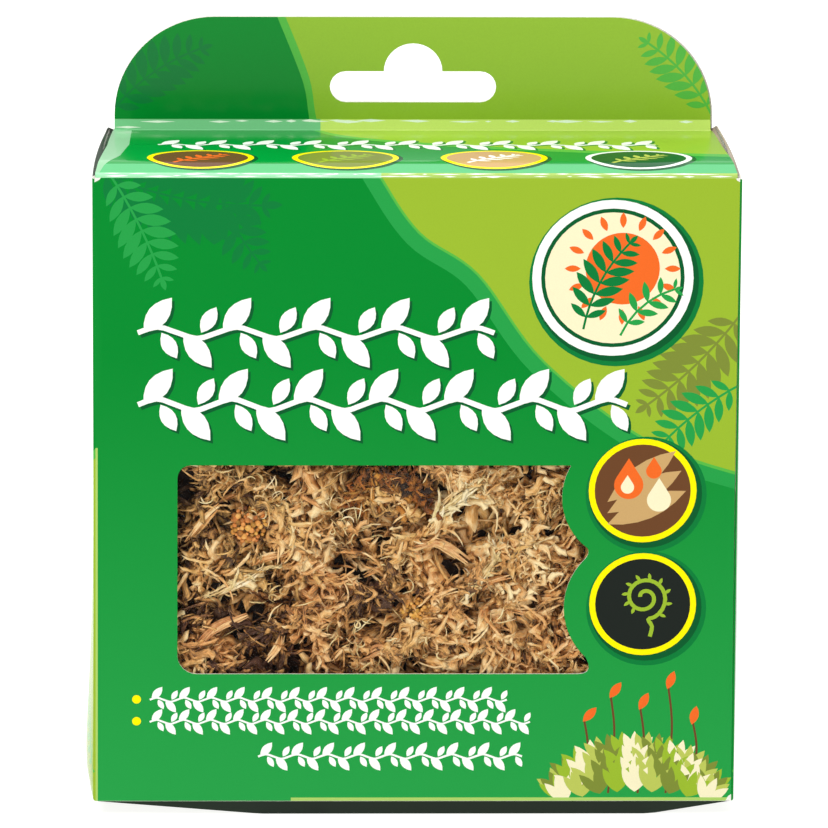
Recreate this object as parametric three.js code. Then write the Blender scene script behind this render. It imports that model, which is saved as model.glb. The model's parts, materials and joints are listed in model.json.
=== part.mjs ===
// Windowed hang-tab carton of dried sphagnum moss, in millimetres, +Z up.
// The carton's front faces -Y, the origin is at the centre of its base, and the
// lid (closing panel, score strip and hanger front ply) swings about the front top crease.
import * as THREE from "three";

// ---- driving dimensions -------------------------------------------------
const WIDTH = 165; // crease to crease, left to right
const DEPTH = 49; // crease to crease, front to back
const HEIGHT = 171.3; // base to the lid's top face at its two creases
const LID_BOW = { rise: 2.1, crest: 18, rear: 0.8 }; // the lid swells, and its rear stays up a little
const FOOT_RISE = 4; // the base bulges, so the walls' feet stand this far off the floor
const BASE_RAMP = { depth: 4.8, left: 41, right: 20 }; // how far in from each border the bulge grows
const BOARD = 0.5; // folding boxboard
const GAP = 0.3; // air between neighbouring plies
const SIDE_BULGE = 1.6; // how far the moss pushes each side panel out

// hanger: the lid's own front ply, glued at rest to the back panel's extension
const HANGER = {
  width: 155,
  rise: 30.6,
  cornerRadius: 26,
  strip: { run: 1.4, rise: 2.8 }, // sloping strip between two scores at the rear of the lid
  slot: { width: 43.2, height: 8.2, bottom: 8, domeWidth: 15.2, domeRise: 7.4 },
};
const LID = { frontWidth: 163.4, rearWidth: 156 };

// window: straight left, top and bottom, and a right edge of two lobes
const WINDOW = {
  left: -60.9,
  top: 94.4,
  bottom: 38.5,
  topLeftRadius: 3.4,
  bottomLeftRadius: 5,
  upperLobe: { x: 54.9, z: 85.9, radius: 17.2 },
  lowerLobe: { x: 57, z: 56.4, radius: 18.6 },
  cusp: { x: 45, z: 70.9, half: 1.4 }, // rounded point between the lobes
  foot: { x: 46.5, round: 4.4 }, // lower right corner, before it is rounded
};
const FILM = { thickness: 0.2, border: 8 };

const DUST_FLAP = { length: 36, taper: 5, cornerRadius: 6 };
const BOTTOM_FLAP = { length: 34, taper: 4, cornerRadius: 4 };
const BOTTOM_INNER_FLAP_DEPTH = 38;
const GLUE_FLAP = { width: 14, endInset: 6 };

// moss: a compressed mat with separate strands lying between it and the film
const HEADSPACE = 9; // from the dust flaps down to the top of the settled moss
const STRAND_LAYER = 5.2; // deepest strand
const MAT_LUMP = 2.6; // depth of the mat's hollows
const MAT_SIDE_ROOM = 1; // air between the mat and a side wall
const MAT_RECESS = { x0: -70, x1: 58, z0: 27, z1: 105 }; // the shallow hollow that holds the strands
const STRAND_DIAMETER = { leafy: 4.4, pale: 3.6, ribbon: 2.8 };

// how finely curved faces are divided
const PLATE_STEPS = { standing: 8, lying: 5 };
const SIDE_STEPS = { y: 6, z: 10 };
const LID_STEPS = { x: 2, y: 12 };
const BASE_STEPS = { x: 16, y: 10 };
const MAT_STEPS = { x: 16, y: 4, z: 16 };
const STRAND_SIDES = 4; // for each half turn
const TUFT_DETAIL = 2;

// ---- derived planes -------------------------------------------------------
const halfW = WIDTH / 2;
const halfD = DEPTH / 2;
const ply = BOARD + GAP; // pitch of two plies that lie on each other
const frontInner = -halfD + BOARD;
const backInner = halfD - BOARD;
const wallTop = HEIGHT - ply; // side and front walls stop under the lid
const floorTop = FOOT_RISE + 2 * ply + GAP; // above the bulged outer flap lie two flat plies
const filmFront = frontInner + GAP;
const filmBack = filmFront + FILM.thickness;
const strandFront = filmBack + GAP;
const matFront = strandFront + STRAND_LAYER + GAP;
const matBack = backInner - ply - GAP;
const matTop = wallTop - ply - HEADSPACE;
const hangerTop = HEIGHT + HANGER.rise;

// ---- finishes ---------------------------------------------------------------
const finish = (color, roughness) =>
  new THREE.MeshStandardMaterial({ color, roughness, metalness: 0 });
const printedBoard = finish(0x149348, 0.35);
const limeBoard = finish(0xa2c83c, 0.35);
const greyBoard = finish(0xb9b4a6, 0.9);
const clearFilm = finish(0xe8eef0, 0.1);
const tanMoss = finish(0xb08a5c, 1);
const paleMoss = finish(0xdcc896, 1);
const brownMoss = finish(0x8a5a36, 1);
const amberMoss = finish(0xc4782c, 0.9);

// ---- shape helpers ----------------------------------------------------------
const part = new THREE.Group();

function add(name, geometry, material) {
  const mesh = new THREE.Mesh(geometry, material);
  mesh.name = name;
  part.add(mesh);
  return mesh;
}

/** A box between two corners. */
function addBlock(name, low, high, material) {
  const size = high.map((top, axis) => top - low[axis]);
  const mesh = add(name, new THREE.BoxGeometry(...size), material);
  mesh.position.set(...high.map((top, axis) => (top + low[axis]) / 2));
  return mesh;
}

/** A plate standing in XZ: the outline's x and y become X and Z; yBack is its rear face. */
function addStandingPlate(name, outline, thickness, yBack, material) {
  const geometry = new THREE.ExtrudeGeometry(outline, {
    depth: thickness,
    bevelEnabled: false,
    curveSegments: PLATE_STEPS.standing,
  });
  const mesh = add(name, geometry, material);
  mesh.rotation.x = Math.PI / 2;
  mesh.position.y = yBack;
  return mesh;
}

/** A plate lying in XY, from z up. */
function addLyingPlate(name, outline, thickness, z, material) {
  const geometry = new THREE.ExtrudeGeometry(outline, {
    depth: thickness,
    bevelEnabled: false,
    curveSegments: PLATE_STEPS.lying,
  });
  const mesh = add(name, geometry, material);
  mesh.position.z = z;
  return mesh;
}

/** Smooth hump over a rectangle: 1 in the middle and 0 on its border. */
const hump = (u, v) => Math.sin(Math.PI * u) * Math.sin(Math.PI * v);

// ---- window, slot and panel outlines ------------------------------------------
/** Where a lobe's left side is at a height. */
const lobeEdge = (lobe, z) => lobe.x - Math.sqrt(lobe.radius ** 2 - (z - lobe.z) ** 2);

/** Draws the left side of a lobe downwards, between two heights. */
function drawLobe(path, lobe, zStart, zEnd) {
  const angle = (z) => Math.PI - Math.asin((z - lobe.z) / lobe.radius);
  path.absarc(lobe.x, lobe.z, lobe.radius, angle(zStart), angle(zEnd), false);
}

function windowPath() {
  const w = WINDOW;
  const cuspLow = w.cusp.z - w.cusp.half;
  const path = new THREE.Path();
  path.moveTo(w.left + w.topLeftRadius, w.top);
  drawLobe(path, w.upperLobe, w.top, w.cusp.z + w.cusp.half);
  path.quadraticCurveTo(w.cusp.x, w.cusp.z, lobeEdge(w.lowerLobe, cuspLow), cuspLow);
  drawLobe(path, w.lowerLobe, cuspLow, w.bottom + w.foot.round);
  path.quadraticCurveTo(w.foot.x, w.bottom, w.foot.x - w.foot.round, w.bottom);
  path.lineTo(w.left + w.bottomLeftRadius, w.bottom);
  path.absarc(w.left + w.bottomLeftRadius, w.bottom + w.bottomLeftRadius,
    w.bottomLeftRadius, 1.5 * Math.PI, Math.PI, true);
  path.lineTo(w.left, w.top - w.topLeftRadius);
  path.absarc(w.left + w.topLeftRadius, w.top - w.topLeftRadius,
    w.topLeftRadius, Math.PI, Math.PI / 2, true);
  return path;
}

/** Hanging slot: a long slot with round ends and a dome over its middle. */
function slotPath() {
  const { width, height, bottom, domeWidth, domeRise } = HANGER.slot;
  const r = height / 2;
  const low = HEIGHT + bottom;
  const high = low + height;
  const reach = width / 2 - r;
  const path = new THREE.Path();
  path.moveTo(-reach, low);
  path.lineTo(reach, low);
  path.absarc(reach, low + r, r, -Math.PI / 2, Math.PI / 2, false);
  path.lineTo(domeWidth / 2, high);
  path.absellipse(0, high, domeWidth / 2, domeRise, 0, Math.PI, false, 0);
  path.lineTo(-reach, high);
  path.absarc(-reach, low + r, r, Math.PI / 2, 1.5 * Math.PI, false);
  return path;
}

/** Adds the hanger's rounded top to an outline whose pen is at its lower right corner. */
function drawHangerTop(outline) {
  const x = HANGER.width / 2;
  const r = HANGER.cornerRadius;
  outline.absarc(x - r, hangerTop - r, r, 0, Math.PI / 2, false);
  outline.absarc(r - x, hangerTop - r, r, Math.PI / 2, Math.PI, false);
}

/** Starts a wall's outline with its foot, from left to right. */
function drawFoot(outline) {
  outline.moveTo(-halfW, FOOT_RISE);
  outline.lineTo(halfW, FOOT_RISE);
}

/** A tapered flap with two round corners; it grows from x = root towards side * -1. */
function flapShape(side, root, halfDepth, { length, taper, cornerRadius: r }) {
  const tip = root - side * length;
  const tipHalf = halfDepth - taper;
  const shape = new THREE.Shape();
  shape.moveTo(root, -halfDepth);
  shape.lineTo(root, halfDepth);
  shape.lineTo(tip + side * r, tipHalf);
  shape.quadraticCurveTo(tip, tipHalf, tip, tipHalf - r);
  shape.lineTo(tip, r - tipHalf);
  shape.quadraticCurveTo(tip, -tipHalf, tip + side * r, -tipHalf);
  shape.closePath();
  return shape;
}

// ---- carton walls ---------------------------------------------------------------
function addFrontPanel() {
  const outline = new THREE.Shape();
  drawFoot(outline);
  outline.lineTo(halfW, wallTop);
  outline.lineTo(-halfW, wallTop);
  outline.closePath();
  outline.holes.push(windowPath());
  addStandingPlate("front_panel", outline, BOARD, frontInner, printedBoard);
}

/** The back panel runs up past the lid as the hanger's back ply. */
function addBackPanel() {
  const outline = new THREE.Shape();
  const shoulder = HEIGHT - GAP;
  drawFoot(outline);
  outline.lineTo(halfW, shoulder);
  outline.lineTo(HANGER.width / 2, shoulder);
  drawHangerTop(outline);
  outline.lineTo(-HANGER.width / 2, shoulder);
  outline.lineTo(-halfW, shoulder);
  outline.closePath();
  outline.holes.push(slotPath());
  addStandingPlate("back_panel", outline, BOARD, halfD, printedBoard);
}

/** A side panel, bowed outwards by the moss and straight along its four creases. */
function addSidePanel(name, side) {
  const depth = DEPTH - 2 * ply;
  const height = wallTop - FOOT_RISE;
  const geometry = new THREE.BoxGeometry(BOARD, depth, height, 1, SIDE_STEPS.y, SIDE_STEPS.z);
  const place = geometry.attributes.position;
  for (let i = 0; i < place.count; i++) {
    const out = SIDE_BULGE * hump(place.getY(i) / depth + 0.5, place.getZ(i) / height + 0.5);
    place.setX(i, place.getX(i) + side * out);
  }
  const mesh = add(name, geometry, limeBoard);
  mesh.position.set(side * (halfW - BOARD / 2), 0, FOOT_RISE + height / 2);
}

/** The seam flap is hinged on the left side panel and glued behind the back panel. */
function addGlueFlap() {
  const x0 = -halfW + ply;
  addBlock("glue_flap",
    [x0, backInner - ply, floorTop + GLUE_FLAP.endInset],
    [x0 + GLUE_FLAP.width, backInner - GAP, wallTop - ply - GLUE_FLAP.endInset],
    greyBoard);
}

// ---- closures --------------------------------------------------------------------
/** The outer flap bulges to the floor between its borders, which meet the walls' feet. */
function addBulgedFlap(x, y) {
  const geometry = new THREE.BoxGeometry(2 * x, 2 * y, BOARD, BASE_STEPS.x, BASE_STEPS.y, 1);
  const place = geometry.attributes.position;
  for (let i = 0; i < place.count; i++) {
    const [u, v] = [place.getX(i), place.getY(i)];
    const nearness = Math.max(
      1 - (x + u) / BASE_RAMP.left, 1 - (x - u) / BASE_RAMP.right,
      1 - (y - Math.abs(v)) / BASE_RAMP.depth, 0);
    place.setZ(i, place.getZ(i) + (FOOT_RISE - BOARD) * nearness);
  }
  add("bottom_outer_flap", geometry, printedBoard).position.z = BOARD / 2;
}

function addBottomFlaps() {
  const x = halfW - ply;
  const y = halfD - ply;
  const innerLow = FOOT_RISE + GAP;
  addBulgedFlap(x, y);
  addBlock("bottom_inner_flap",
    [-x, y - BOTTOM_INNER_FLAP_DEPTH, innerLow], [x, y, innerLow + BOARD], greyBoard);
  for (const [label, side] of [["left", -1], ["right", 1]]) {
    const shape = flapShape(side, side * x, y, BOTTOM_FLAP);
    addLyingPlate(`bottom_dust_flap_${label}`, shape, BOARD, innerLow + ply, greyBoard);
  }
}

function addTopDustFlaps() {
  const y = halfD - ply;
  for (const [label, side] of [["left", -1], ["right", 1]]) {
    const shape = flapShape(side, side * (halfW - ply), y, DUST_FLAP);
    addLyingPlate(`top_dust_flap_${label}`, shape, BOARD, wallTop - BOARD, limeBoard);
  }
}

/** How far the lid's face stands above its front crease, at a distance behind that crease. */
function lidBow(run, depth) {
  const { rise, crest, rear } = LID_BOW;
  const [end, reach] = run < crest ? [0, crest] : [rear, depth - crest];
  return rise - (rise - end) * ((run - crest) / reach) ** 2;
}

/** Lid, score strip and hanger front ply: one flap of board that lifts as one body. */
function addLid() {
  const { run, rise } = HANGER.strip;
  const plyBack = backInner - GAP;
  const stripFoot = plyBack - BOARD - run;
  const lidRear = stripFoot - GAP;
  const depth = lidRear + halfD;
  const lid = new THREE.BoxGeometry(LID.frontWidth, depth, BOARD, LID_STEPS.x, LID_STEPS.y, 1);
  const place = lid.attributes.position;
  for (let i = 0; i < place.count; i++) {
    const behind = place.getY(i) + depth / 2;
    const narrowing = 1 - (1 - LID.rearWidth / LID.frontWidth) * (behind / depth);
    place.setX(i, place.getX(i) * narrowing);
    place.setZ(i, place.getZ(i) + lidBow(behind, depth));
  }
  add("lid_panel", lid, printedBoard).position.set(0, (lidRear - halfD) / 2, HEIGHT - BOARD / 2);

  const foot = HEIGHT + LID_BOW.rear - BOARD;
  const scoreHeight = HEIGHT + LID_BOW.rear + rise;
  const profile = new THREE.Shape();
  profile.moveTo(stripFoot, foot);
  profile.lineTo(stripFoot + BOARD, foot);
  profile.lineTo(plyBack, scoreHeight - GAP);
  profile.lineTo(plyBack - BOARD, scoreHeight - GAP);
  profile.closePath();
  const strip = new THREE.ExtrudeGeometry(profile, { depth: HANGER.width, bevelEnabled: false });
  // profile x, y and its depth become Y, Z and X
  const turn = new THREE.Matrix4().makeBasis(
    new THREE.Vector3(0, 1, 0), new THREE.Vector3(0, 0, 1), new THREE.Vector3(1, 0, 0));
  strip.applyMatrix4(turn);
  add("hanger_score_strip", strip, printedBoard).position.x = -HANGER.width / 2;

  const outline = new THREE.Shape();
  outline.moveTo(-HANGER.width / 2, scoreHeight);
  outline.lineTo(HANGER.width / 2, scoreHeight);
  drawHangerTop(outline);
  outline.closePath();
  outline.holes.push(slotPath());
  addStandingPlate("hanger_front_ply", outline, BOARD, plyBack, printedBoard);
}

function addWindowFilm() {
  addBlock("window_film",
    [WINDOW.left - FILM.border, filmFront, WINDOW.bottom - FILM.border],
    [WINDOW.foot.x + FILM.border, filmBack, WINDOW.top + FILM.border], clearFilm);
}

// ---- moss ------------------------------------------------------------------------
const ON_FACE = 0.01; // share of the mat's size within which a point lies on a face

/** How far the mat's face dips at a place: two slow waves, 30 mm or so long. */
function lump(a, b) {
  const waves = Math.sin(a * 0.19 + b * 0.07) + Math.sin(b * 0.23 - a * 0.05);
  return MAT_LUMP * (0.5 + 0.25 * waves);
}

/** The pressed mat fills the carton, with a shallow hollow where the loose strands lie. */
function addMossMat() {
  const side = halfW - BOARD - MAT_SIDE_ROOM;
  const low = [-side, strandFront, floorTop + GAP];
  const high = [side, matBack, matTop];
  const size = high.map((top, axis) => top - low[axis]);
  const geometry = new THREE.BoxGeometry(...size, MAT_STEPS.x, MAT_STEPS.y, MAT_STEPS.z);
  const place = geometry.attributes.position;
  for (let i = 0; i < place.count; i++) {
    const share = [place.getX(i), place.getY(i), place.getZ(i)].map((v, axis) => v / size[axis] + 0.5);
    const at = share.map((fraction, axis) => low[axis] + fraction * size[axis]);
    const [x, y, z] = at;
    const recess = MAT_RECESS;
    const inside = x > recess.x0 && x < recess.x1 && z > recess.z0 && z < recess.z1;
    if (share[1] < ON_FACE) at[1] = inside ? matFront : strandFront + lump(x, z);
    if (share[1] > 1 - ON_FACE) at[1] -= lump(x, z);
    if (share[0] < ON_FACE) at[0] += lump(y, z);
    if (share[0] > 1 - ON_FACE) at[0] -= lump(z, y);
    if (share[2] > 1 - ON_FACE) at[2] -= lump(x, y);
    place.setXYZ(i, ...at);
  }
  add("moss_mat", geometry, tanMoss);
}

const STRAND_STEP = 1.2; // length of one step of a strand's tube, in diameters

/** A strand: a tube along points [x, z] that lies on the mat's front. */
function addStrand(name, points, diameter, material) {
  const y = matFront - GAP - diameter / 2;
  const route = new THREE.CatmullRomCurve3(
    points.map(([x, z]) => new THREE.Vector3(x, y, z + FOOT_RISE)));
  const section = new THREE.Shape();
  section.absarc(0, 0, diameter / 2, 0, 2 * Math.PI, false);
  const tube = new THREE.ExtrudeGeometry(section, {
    steps: Math.max(4, Math.round(route.getLength() / (STRAND_STEP * diameter))),
    curveSegments: STRAND_SIDES,
    bevelEnabled: false,
    extrudePath: route,
  });
  add(name, tube, material);
}

/** A rounded tuft or bud head that lies on the mat's front. */
function addTuft(name, [x, z], [wide, high], material) {
  const depth = STRAND_LAYER - GAP;
  const mesh = add(name, new THREE.IcosahedronGeometry(0.5, TUFT_DETAIL), material);
  mesh.scale.set(wide, depth, high);
  mesh.position.set(x, matFront - GAP - depth / 2, z + FOOT_RISE);
}

function addStrands() {
  const leafy = [
    [[-57, 70], [-54, 63], [-56, 57]],
    [[-50, 84], [-45, 86], [-38, 83]],
    [[-32, 74], [-24, 70], [-17, 73]],
    [[-34, 63], [-25, 61], [-14, 58]],
    [[-29, 50], [-25, 45], [-23, 38]],
    [[-9, 63], [-6, 56], [-9, 50]],
    [[26, 78], [30, 73], [29, 66]],
    [[33, 60], [29, 54], [22, 51]],
    [[8, 44], [17, 42], [25, 44]],
  ];
  const { leafy: leafyWide, pale: paleWide, ribbon: ribbonWide } = STRAND_DIAMETER;
  leafy.forEach((points, i) => addStrand(`moss_leafy_stem_${i + 1}`, points, leafyWide, tanMoss));
  const pale = [
    [[-55, 54], [-46, 57.5], [-39, 62]],
    [[22, 67], [18, 60], [12, 53]],
    [[16, 84], [9, 79], [4, 74.5]],
  ];
  pale.forEach((points, i) => addStrand(`moss_pale_stem_${i + 1}`, points, paleWide, paleMoss));
  const ribbons = [
    [[-57, 40], [-51, 46.5], [-43, 50]],
    [[0, 68], [5, 69.5], [14, 64]],
    [[-14, 38], [-9, 41], [-3, 38]],
  ];
  ribbons.forEach((points, i) => addStrand(`moss_ribbon_${i + 1}`, points, ribbonWide, brownMoss));
  addTuft("moss_bud_head_1", [-42.5, 73.5], [10.5, 10.5], amberMoss);
  addTuft("moss_bud_head_2", [1, 50], [9.5, 8.5], amberMoss);
  addTuft("moss_stained_tuft", [-6, 83], [22, 11], brownMoss);
}

addFrontPanel();
addBackPanel();
addSidePanel("left_side_panel", -1);
addSidePanel("right_side_panel", 1);
addGlueFlap();
addBottomFlaps();
addTopDustFlaps();
addWindowFilm();
addLid();
addMossMat();
addStrands();

export default part;
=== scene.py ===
"""Looks of a windowed hang-tab carton filled with a clump of dried sphagnum moss.

Drawings are in millimetres and are turned to metres where a mesh is written.
The carton stands on z = 0, its window faces -Y and its lid lifts about the front top crease.
"""

import sys
import json
import logging
from collections.abc import Callable, Iterable, Sequence
from dataclasses import dataclass
from enum import Enum
from functools import partial
from itertools import product
from math import asin, atan2, cos, degrees, hypot, inf, pi, radians, sin, sqrt, tau
from random import Random
from typing import Any

import bmesh
import bpy
import numpy as np
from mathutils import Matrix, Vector, geometry, noise

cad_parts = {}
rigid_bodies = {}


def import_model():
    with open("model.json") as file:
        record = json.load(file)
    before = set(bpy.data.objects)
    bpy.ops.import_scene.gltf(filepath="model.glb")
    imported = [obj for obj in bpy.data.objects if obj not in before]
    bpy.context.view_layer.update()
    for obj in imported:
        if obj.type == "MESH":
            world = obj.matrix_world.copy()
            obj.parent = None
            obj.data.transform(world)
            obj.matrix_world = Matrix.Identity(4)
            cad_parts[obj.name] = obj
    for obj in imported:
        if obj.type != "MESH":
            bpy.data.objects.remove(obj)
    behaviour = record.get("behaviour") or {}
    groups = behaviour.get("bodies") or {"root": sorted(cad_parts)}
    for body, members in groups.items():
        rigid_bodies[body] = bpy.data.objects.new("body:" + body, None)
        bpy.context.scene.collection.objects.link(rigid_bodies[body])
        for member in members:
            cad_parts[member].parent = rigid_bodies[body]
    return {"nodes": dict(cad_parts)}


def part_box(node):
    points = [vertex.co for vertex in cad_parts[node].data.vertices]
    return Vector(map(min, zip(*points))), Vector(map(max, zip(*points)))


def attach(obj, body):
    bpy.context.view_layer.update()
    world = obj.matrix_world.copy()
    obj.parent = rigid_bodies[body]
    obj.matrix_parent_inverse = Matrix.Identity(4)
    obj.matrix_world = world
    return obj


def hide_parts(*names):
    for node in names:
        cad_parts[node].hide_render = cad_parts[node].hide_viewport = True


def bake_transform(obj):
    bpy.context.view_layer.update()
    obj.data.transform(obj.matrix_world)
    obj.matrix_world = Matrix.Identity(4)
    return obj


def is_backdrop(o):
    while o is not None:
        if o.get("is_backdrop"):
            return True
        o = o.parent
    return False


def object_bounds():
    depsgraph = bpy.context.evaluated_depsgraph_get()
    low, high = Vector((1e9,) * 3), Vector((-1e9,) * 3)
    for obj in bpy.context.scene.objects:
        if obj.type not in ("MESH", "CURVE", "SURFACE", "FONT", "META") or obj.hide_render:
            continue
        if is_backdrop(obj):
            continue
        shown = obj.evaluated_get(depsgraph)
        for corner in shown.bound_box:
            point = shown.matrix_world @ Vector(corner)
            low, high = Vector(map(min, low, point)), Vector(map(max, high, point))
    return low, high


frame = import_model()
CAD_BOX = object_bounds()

log = logging.getLogger("moss_carton")

MM = 0.001
# the kinds of node that more than one tree has
MATHS, VECTOR_MATHS, MAP_RANGE = "ShaderNodeMath", "ShaderNodeVectorMath", "ShaderNodeMapRange"
NOISE, RAMP, BUMP = "ShaderNodeTexNoise", "ShaderNodeValToRGB", "ShaderNodeBump"
COORDS, ATTRIBUTE, COMBINE = "ShaderNodeTexCoord", "ShaderNodeAttribute", "ShaderNodeCombineXYZ"
STORE, STORED = "GeometryNodeStoreNamedAttribute", "GeometryNodeInputNamedAttribute"
COPIES, REALIZE = "GeometryNodeInstanceOnPoints", "GeometryNodeRealizeInstances"
CHANCE = "FunctionNodeRandomValue"
CARTON_BODY = "carton"
LID_BODY = "lid"
BOARD = 0.5  # folding boxboard, in millimetres
FOOT_RISE = 4.0  # the walls' feet stand this far off the floor; print heights start there
# painted light: a panel's ground is lightened towards its lower end over this share
FADE_SPAN = 0.72  # share of a panel's height over which its ground ink fades

Pair = tuple[float, float]
Point = Pair  # of a drawing or section
Triple = tuple[float, float, float]
Array = np.ndarray
Piece = bpy.types.Object
Material = bpy.types.Material
Socket = bpy.types.NodeSocket
Tree = bpy.types.GeometryNodeTree
Adder = Callable[..., Any]  # add_node, bound to one tree


# ---- small helpers


def box_mm(node: str) -> tuple[Vector, Vector]:
    """Lowest and highest corner of a CAD node, in millimetres."""
    low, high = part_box(node)
    return Vector(low) / MM, Vector(high) / MM


def linear(hex_colour: str) -> tuple[float, float, float, float]:
    """Turns an sRGB hex colour such as "#A2C83C" to linear RGBA.

    Args:
        hex_colour: A "#" and six hexadecimal digits.

    Returns:
        Red, green, blue and alpha.
    """
    channels = [int(hex_colour[i : i + 2], 16) / 255 for i in (1, 3, 5)]
    low = [c / 12.92 if c <= 0.04045 else ((c + 0.055) / 1.055) ** 2.4 for c in channels]
    return (low[0], low[1], low[2], 1.0)


def feed(node: bpy.types.Node, inputs: dict[str | int, Any]) -> None:
    """Gives a node's inputs their plain values, or links to other nodes' outputs.

    Args:
        node: The node.
        inputs: Socket name or index to a plain value or an output.
    """
    for name, value in inputs.items():
        socket = node.inputs[name]
        if isinstance(value, Socket):
            node.id_data.links.new(value, socket)
        else:
            socket.default_value = value


def add_node(
    tree: bpy.types.NodeTree, kind: str, inputs: dict[str | int, Any] | None = None, out: str | int = 0,
    **settings: Any,
) -> Socket | None:
    """Adds a node with its settings and links.

    Args:
        tree: The shader or geometry tree.
        kind: The node's type name.
        inputs: Socket name or index to a plain value, or to another node's output.
        out: Which of its outputs to return.
        settings: Attributes to set on the node.

    Returns:
        That output, if the node has any.
    """
    node = tree.nodes.new(kind)
    for name, value in settings.items():
        setattr(node, name, value)
    feed(node, inputs or {})
    return node.outputs[out] if node.outputs else None


def new_material(name: str) -> tuple[Material, bpy.types.Node, Adder]:
    """A material, its shader, and add_node bound to its tree.

    Args:
        name: The material's name.

    Returns:
        The material, its shader and the bound function.
    """
    mat = bpy.data.materials.new(name)
    mat.use_nodes = True
    return mat, mat.node_tree.nodes["Principled BSDF"], partial(add_node, mat.node_tree)


def placed(name: str, data: bpy.types.ID) -> Piece:
    """Puts a mesh, light or camera in the scene as an object at the origin.

    Args:
        name: The object's name.
        data: What it shows.

    Returns:
        The object.
    """
    piece = bpy.data.objects.new(name, data)
    bpy.context.scene.collection.objects.link(piece)
    return piece


def shell_object(name: str, shell: bmesh.types.BMesh) -> Piece:
    """Puts a bmesh in the scene as an object, and frees it.

    Args:
        name: The object's name.
        shell: Its mesh, in metres.

    Returns:
        The object.
    """
    mesh = bpy.data.meshes.new(name)
    shell.to_mesh(mesh)
    shell.free()
    return placed(name, mesh)


def seat(piece: Piece, body: str, slot: str, *nodes: str) -> Piece:
    """Makes a finished piece ride on a body and hides the CAD nodes that it stands for.

    Args:
        piece: The piece.
        body: The body.
        slot: Not used.
        nodes: The CAD nodes.

    Returns:
        The piece.
    """
    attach(piece, body)
    if nodes:
        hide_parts(*nodes)
    log.info("%s: %d faces", piece.name, len(piece.data.polygons))
    return piece


# ---- finishes


class Ink(Enum):
    """Inks and bare board of the print, and colours that paint light and shade on it, as sRGB hex colours.
    """

    DARK_GREEN = "#00872D"
    SOFT_GREEN = "#259D47"
    MID_GREEN = "#55B545"
    LIME = "#98B730"
    # painted reflection: green of the strip between the scores, lightened as if it caught bright light
    STRETCHED_GREEN = "#74C486"
    PALE_LIME = "#ABCE68"
    # painted shade: the dark underside of the bulged base flap
    NIGHT_GREEN = "#1A281B"
    # painted reflection: lime of the strip between the scores, lightened as if it caught bright light
    STRETCHED_LIME = "#C2E06A"
    # worn coating and painted highlight: pale green ground of the lid's crease
    WORN_GREEN = "#9FE2B0"
    # worn coating and painted highlight: pale lime of the lid's crease
    WORN_LIME = "#ABC964"
    # painted light: the lid's lighter green, where it faces the light from above
    LID_GREEN = "#00983A"
    HANGER_LIME = "#94BC36"
    # painted reflection: the lid's front roll, lightened as if it mirrored bright light
    ROLL_GREEN = "#58BC78"
    # painted reflection: pale glare on the left end of the lid
    WASHED_GREEN = "#93C79C"
    # cracked varnish and painted glints: pale slivers on the hanger's scores
    CHALK = "#E0F2DA"
    # painted shade and painted light: the left dust flap's dark ground and the right one's lit bare board
    SLATE = "#3A463C"
    DRIFTWOOD = "#A89A88"
    SHADE_GREEN = "#0A7A38"
    DEEP_GREEN = "#07592C"
    OLIVE = "#7C8A36"
    MOSS = "#B9C45A"
    YELLOW = "#FFF000"
    WHITE = "#F8FBF6"
    CREAM = "#F3EBC4"
    TAN = "#C9A36B"
    ORANGE = "#EE6A26"
    BROWN = "#6B4428"
    BLACK = "#1E2420"
    BARE = "#EFEDE6"


@dataclass(frozen=True)
class CoatedBoard:
    """Clay-coated folding boxboard with offset inks under a gloss varnish.

    The varnish gives sharp highlights with a faint orange-peel, and the board's
    fibres show through it as a very low mottle.
    """

    name: str
    gloss: float
    roughness: float = 0.16
    peel_mm: float = 1.4
    fibre_mm: float = 0.35

    def build(self) -> Material:
        """Builds the material.

        Returns:
            The material, which reads its inks from the attribute "ink".
        """
        mat, shader, add = new_material(self.name)
        place = add(COORDS, out="Object")
        ink = add(ATTRIBUTE, attribute_name="ink")
        mottle = add(NOISE, {"Vector": place, "Scale": 1 / (self.fibre_mm * MM), "Detail": 2.0})
        shade = add(MAP_RANGE, {"Value": mottle, "To Min": 0.93, "To Max": 1.05})
        colour = add(VECTOR_MATHS, {0: ink, "Scale": shade}, operation="SCALE")
        peel = add(NOISE, {"Vector": place, "Scale": 1 / (self.peel_mm * MM), "Detail": 1.0})
        bump = add(BUMP, {"Height": peel, "Strength": 0.06, "Distance": 0.1 * MM})
        feed(shader, {"Base Color": colour, "Normal": bump, "Roughness": self.roughness})
        feed(shader, {"Specular IOR Level": self.gloss})
        return mat


@dataclass(frozen=True)
class BareBoard:
    """Uncoated side or cut edge of the board: matt pulp with darker recycled flecks."""

    name: str
    pulp: str
    fleck: str
    fleck_mm: float = 0.6
    roughness: float = 0.85

    def build(self) -> Material:
        """Builds the material.

        Returns:
            The material.
        """
        mat, shader, add = new_material(self.name)
        place = add(COORDS, out="Object")
        scale = 1 / (self.fleck_mm * MM)
        fibre = add(NOISE, {"Vector": place, "Scale": scale, "Detail": 6.0, "Roughness": 0.7})
        ramp = add(RAMP, {"Fac": fibre})
        tones = ((0.36, self.fleck), (0.52, self.pulp))
        for element, (place, tone) in zip(ramp.node.color_ramp.elements, tones, strict=True):
            element.position, element.color = place, linear(tone)
        bump = add(BUMP, {"Height": fibre, "Strength": 0.25, "Distance": 0.05 * MM})
        feed(shader, {"Base Color": ramp, "Normal": bump, "Roughness": self.roughness})
        return mat


@dataclass(frozen=True)
class ClearFilm:
    """Thin clear polyester film: nearly all light passes, and a trace of gloss stays."""

    haze: float = 0.02
    roughness: float = 0.08

    def build(self) -> Material:
        """Builds the material.

        Returns:
            The material.
        """
        mat, shader, _ = new_material("clear_polyester_film")
        feed(shader, {"Base Color": linear("#3A3C3C"), "Roughness": self.roughness, "Alpha": self.haze})
        return mat


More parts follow.
